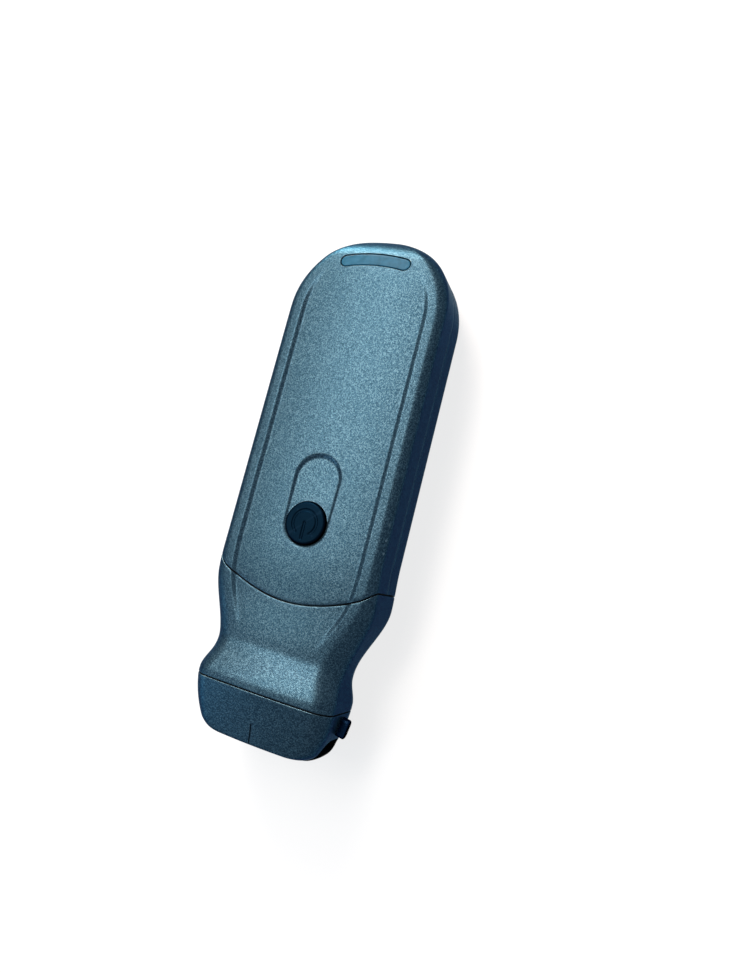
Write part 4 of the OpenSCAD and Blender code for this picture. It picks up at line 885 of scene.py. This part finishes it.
GRAINED = {
    "seam_rubber": dict(base=(0.0010, 0.0022, 0.0050), rough=0.7, scale=1500, gloss=0.05),
    "button_rubber": dict(base=(0.0007, 0.0035, 0.0085), rough=0.5, metallic=1.0, scale=2600, strength=0.5,
                          wear=0.35, edge_tint=(0.04, 0.06, 0.10)),
    "marker_plastic": dict(base=(0.0020, 0.0080, 0.0240), rough=0.32, metallic=1.0, scale=2000,
                           edge_tint=(0.04, 0.06, 0.12)),
    "lens_silicone": dict(base=(0.0030, 0.0060, 0.0100), rough=0.42, metallic=1.0, scale=1600, strength=0.2,
                          edge_tint=(0.03, 0.04, 0.05)),
    "matching_resin": dict(base=(0.45, 0.34, 0.13), rough=0.5),
    "backing_epoxy": dict(base=(0.015, 0.015, 0.017), rough=0.6, scale=700),
    "flex_film": dict(base=(0.34, 0.10, 0.012), rough=0.25, coat=0.4),
    "switch_black": dict(base=(0.010, 0.010, 0.011), rough=0.5),
    "plunger_white": dict(base=(0.60, 0.60, 0.54), rough=0.45),
    "board_green": dict(base=(0.004, 0.05, 0.02), rough=0.35, scale=500, coat=0.3),
    "lamp_yellow": dict(base=(0.78, 0.70, 0.26), rough=0.3),
    "chip_black": dict(base=(0.010, 0.010, 0.012), rough=0.55),
    "pad_grey": dict(base=(0.26, 0.29, 0.34), rough=0.8),
    "antenna_ceramic": dict(base=(0.68, 0.64, 0.56), rough=0.3, coat=0.4),
    "connector_ivory": dict(base=(0.68, 0.62, 0.44), rough=0.5),
    "frame_nylon": dict(base=(0.022, 0.025, 0.030), rough=0.6, scale=1200),
    "plug_rubber": dict(base=(0.010, 0.022, 0.034), rough=0.65, scale=2000),
    "ferrite_grey": dict(base=(0.015, 0.015, 0.016), rough=0.75),
}
BRUSHED = {
    "crystal_gilt": ((0.80, 0.62, 0.28), 0.3),
    "carrier_alloy": ((0.55, 0.57, 0.60), 0.35),
    "spreader_alloy": ((0.62, 0.63, 0.65), 0.38),
    "shield_tin": ((0.60, 0.61, 0.63), 0.3),
    "screw_steel": ((0.52, 0.53, 0.55), 0.3),
    "battery_foil": ((0.56, 0.58, 0.62), 0.42),
    "coil_copper": ((0.62, 0.24, 0.07), 0.3),
}


def make_materials():
    """All materials by the name of their slot."""
    made = {"housing_paint": paint_material(), "window_smoke": window_material()}
    for slot, look in GRAINED.items():
        made[slot] = grained(slot, **look)
    for slot, (base, rough) in BRUSHED.items():
        made[slot] = brushed(slot, base, rough)
    return made


# Assembly

def dress(obj, slot, body, replaced, materials):
    """Gives a piece its material and body, and hides the node that it stands for."""
    obj.data.materials.clear()
    obj.data.materials.append(materials[slot])
    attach(obj, body)
    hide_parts(*replaced)


materials = make_materials()
slots = {entry["node"]: entry["material_slot"] for entry in frame["record"]["subparts"]}
for node_name, node in nodes.items():
    for material_slot in node.material_slots:
        material_slot.material = materials[slots[node_name]]

dress(build_front_shell(), "housing_paint", "housing", ["front_shell"], materials)
dress(build_rear_shell(), "housing_paint", "housing", ["rear_shell"], materials)
dress(build_neck(), "housing_paint", "housing", ["neck_shell"], materials)
dress(build_neck_gasket(), "seam_rubber", "housing", ["neck_seal"], materials)
dress(build_nose(), "housing_paint", "housing", ["nose_cap"], materials)
dress(build_nose_gasket(), "seam_rubber", "housing", ["nose_seal"], materials)
dress(marker_solid("marker_bar", 0.0, 0.45), "marker_plastic", "housing", ["orientation_marker"], materials)
dress(build_lens(), "lens_silicone", "housing", ["acoustic_lens"], materials)
dress(build_window(), "window_smoke", "housing", ["indicator_window"], materials)
dress(build_button(), "button_rubber", "button", ["power_button"], materials)


# Stage, camera and light

# Focal length in pixels of the photograph, and depth in millimetres of the point at CAM_REF_Y on the
# middle line. That point shows at (CAM_OX, CAM_OY), and the picture's middle is (CAM_CX, CAM_CY).
CAM_FOCAL_PX, CAM_DEPTH = 680.0, 211.5
CAM_AZ, CAM_EL, CAM_ROLL = math.radians(21.9), math.radians(-6.7), math.radians(-14.4)
CAM_OX, CAM_OY, CAM_CX, CAM_CY = 324.9, 511.5, 365.0, 486.5
CAM_REF_Y = 70.7
IMAGE_LONG_SIDE = 973.0


def camera_axes():
    """The view's directions to the right, down and forward."""
    level = math.cos(CAM_EL)
    back = Vector((math.sin(CAM_AZ) * level, math.sin(CAM_EL), math.cos(CAM_AZ) * level))
    forward = -back
    right = forward.cross(Vector((0, 1, 0))).normalized()
    down = forward.cross(right)
    c, s = math.cos(CAM_ROLL), math.sin(CAM_ROLL)
    return c * right + s * down, -s * right + c * down, forward


def add_camera():
    """Camera fitted to the photograph's view."""
    right, down, forward = camera_axes()
    qx = (CAM_OX - CAM_CX) / CAM_FOCAL_PX * CAM_DEPTH
    qy = (CAM_OY - CAM_CY) / CAM_FOCAL_PX * CAM_DEPTH
    centre = Vector((0, CAM_REF_Y, 0)) - (right * qx + down * qy + forward * CAM_DEPTH)
    place_mm = Vector((centre.x, centre.y - ORIGIN_Y, centre.z + BACK_DEPTH))
    data = bpy.data.cameras.new("camera")
    data.sensor_width = 36.0
    data.lens = CAM_FOCAL_PX / IMAGE_LONG_SIDE * data.sensor_width
    data.clip_start, data.clip_end = 0.01, 20
    cam = bpy.data.objects.new("camera", data)
    bpy.context.scene.collection.objects.link(cam)
    rot = Matrix((right, -down, -forward)).transposed().to_4x4()
    cam.matrix_world = Matrix.Translation(place_mm * MM) @ rot
    bpy.context.scene.camera = cam


def is_seen(tree):
    """1 for rays of the camera, of reflections and of glass."""
    path = tree.nodes.new("ShaderNodeLightPath")
    seen = math_node(tree, "MAXIMUM", path.outputs["Is Camera Ray"], path.outputs["Is Glossy Ray"])
    return math_node(tree, "MAXIMUM", seen, path.outputs["Is Transmission Ray"])


def add_floor():
    """Floor that is white where it is seen or mirrored, with the object's shadow, and plain grey as light."""
    size = 6.0
    mesh = bpy.data.meshes.new("floor")
    corners = [(-size, -size, 0), (size, -size, 0), (size, size, 0), (-size, size, 0)]
    mesh.from_pydata(corners, [], [(0, 1, 2, 3)])
    floor = bpy.data.objects.new("floor", mesh)
    bpy.context.scene.collection.objects.link(floor)
    mat = bpy.data.materials.new("floor")
    mat.use_nodes = True
    tree = mat.node_tree
    tree.nodes.clear()
    out = tree.nodes.new("ShaderNodeOutputMaterial")
    plain = tree.nodes.new("ShaderNodeBsdfDiffuse")
    plain.inputs["Color"].default_value = (0.42, 0.44, 0.47, 1)
    lit = tree.nodes.new("ShaderNodeBsdfDiffuse")
    lit.inputs["Color"].default_value = (0.10, 0.12, 0.15, 1)
    glow = tree.nodes.new("ShaderNodeEmission")
    glow.inputs["Color"].default_value = (0.80, 0.80, 0.80, 1)
    both = tree.nodes.new("ShaderNodeAddShader")
    tree.links.new(lit.outputs[0], both.inputs[0])
    tree.links.new(glow.outputs[0], both.inputs[1])
    pick = tree.nodes.new("ShaderNodeMixShader")
    tree.links.new(is_seen(tree), pick.inputs["Fac"])
    tree.links.new(plain.outputs[0], pick.inputs[1])
    tree.links.new(both.outputs[0], pick.inputs[2])
    tree.links.new(pick.outputs[0], out.inputs["Surface"])
    mesh.materials.append(mat)
    floor.location.z = -0.0002


def add_world():
    """White where it is seen or mirrored, and dim as light on the object."""
    world = bpy.data.worlds.new("world")
    world.use_nodes = True
    tree = world.node_tree
    tree.nodes.clear()
    out = tree.nodes.new("ShaderNodeOutputWorld")
    dim = tree.nodes.new("ShaderNodeBackground")
    dim.inputs["Color"].default_value = (0.80, 0.88, 1.0, 1)
    dim.inputs["Strength"].default_value = 0.2
    white = tree.nodes.new("ShaderNodeBackground")
    white.inputs["Color"].default_value = (1, 1, 1, 1)
    pick = tree.nodes.new("ShaderNodeMixShader")
    tree.links.new(is_seen(tree), pick.inputs["Fac"])
    tree.links.new(dim.outputs[0], pick.inputs[1])
    tree.links.new(white.outputs[0], pick.inputs[2])
    tree.links.new(pick.outputs[0], out.inputs["Surface"])
    bpy.context.scene.world = world


def add_area(name, position, target, width, height, power, colour):
    """Rectangular lamp that faces the target."""
    data = bpy.data.lights.new(name, "AREA")
    data.shape = "RECTANGLE"
    data.size, data.size_y = width, height
    data.energy = power
    data.color = colour
    lamp = bpy.data.objects.new(name, data)
    lamp.location = position
    back = (Vector(position) - Vector(target)).normalized()
    right = Vector((0, 1, 0)).cross(back).normalized()
    lamp.rotation_euler = Matrix((right, back.cross(right), back)).transposed().to_euler()
    bpy.context.scene.collection.objects.link(lamp)


LAMP_TARGET = (0, 0.02, 0.02)
KEY_COLOUR = (1.0, 0.79, 0.60)
# Name, place, width and height in metres, power in watts, and colour of each lamp
LAMPS = [
    ("key", (-0.22, 0.27, 0.585), 0.14, 0.42, 3.9, KEY_COLOUR),
    ("key_wide", (-0.22, 0.21, 0.585), 0.34, 0.64, 5.2, KEY_COLOUR),
    ("key_low", (-0.27, -0.01, 0.56), 0.12, 0.22, 1.1, KEY_COLOUR),
    ("fill", (-0.53, -0.38, 0.32), 0.55, 0.30, 1.7, (0.62, 0.90, 1.0)),
    ("tail", (-0.32, 0.64, 0.31), 0.55, 0.30, 28.0, (1.0, 0.72, 0.52)),
]


def add_lights():
    for name, position, width, height, power, colour in LAMPS:
        add_area(name, position, LAMP_TARGET, width, height, power, colour)


add_floor()
add_world()
add_camera()
add_lights()
bpy.context.scene.view_settings.view_transform = "Standard"

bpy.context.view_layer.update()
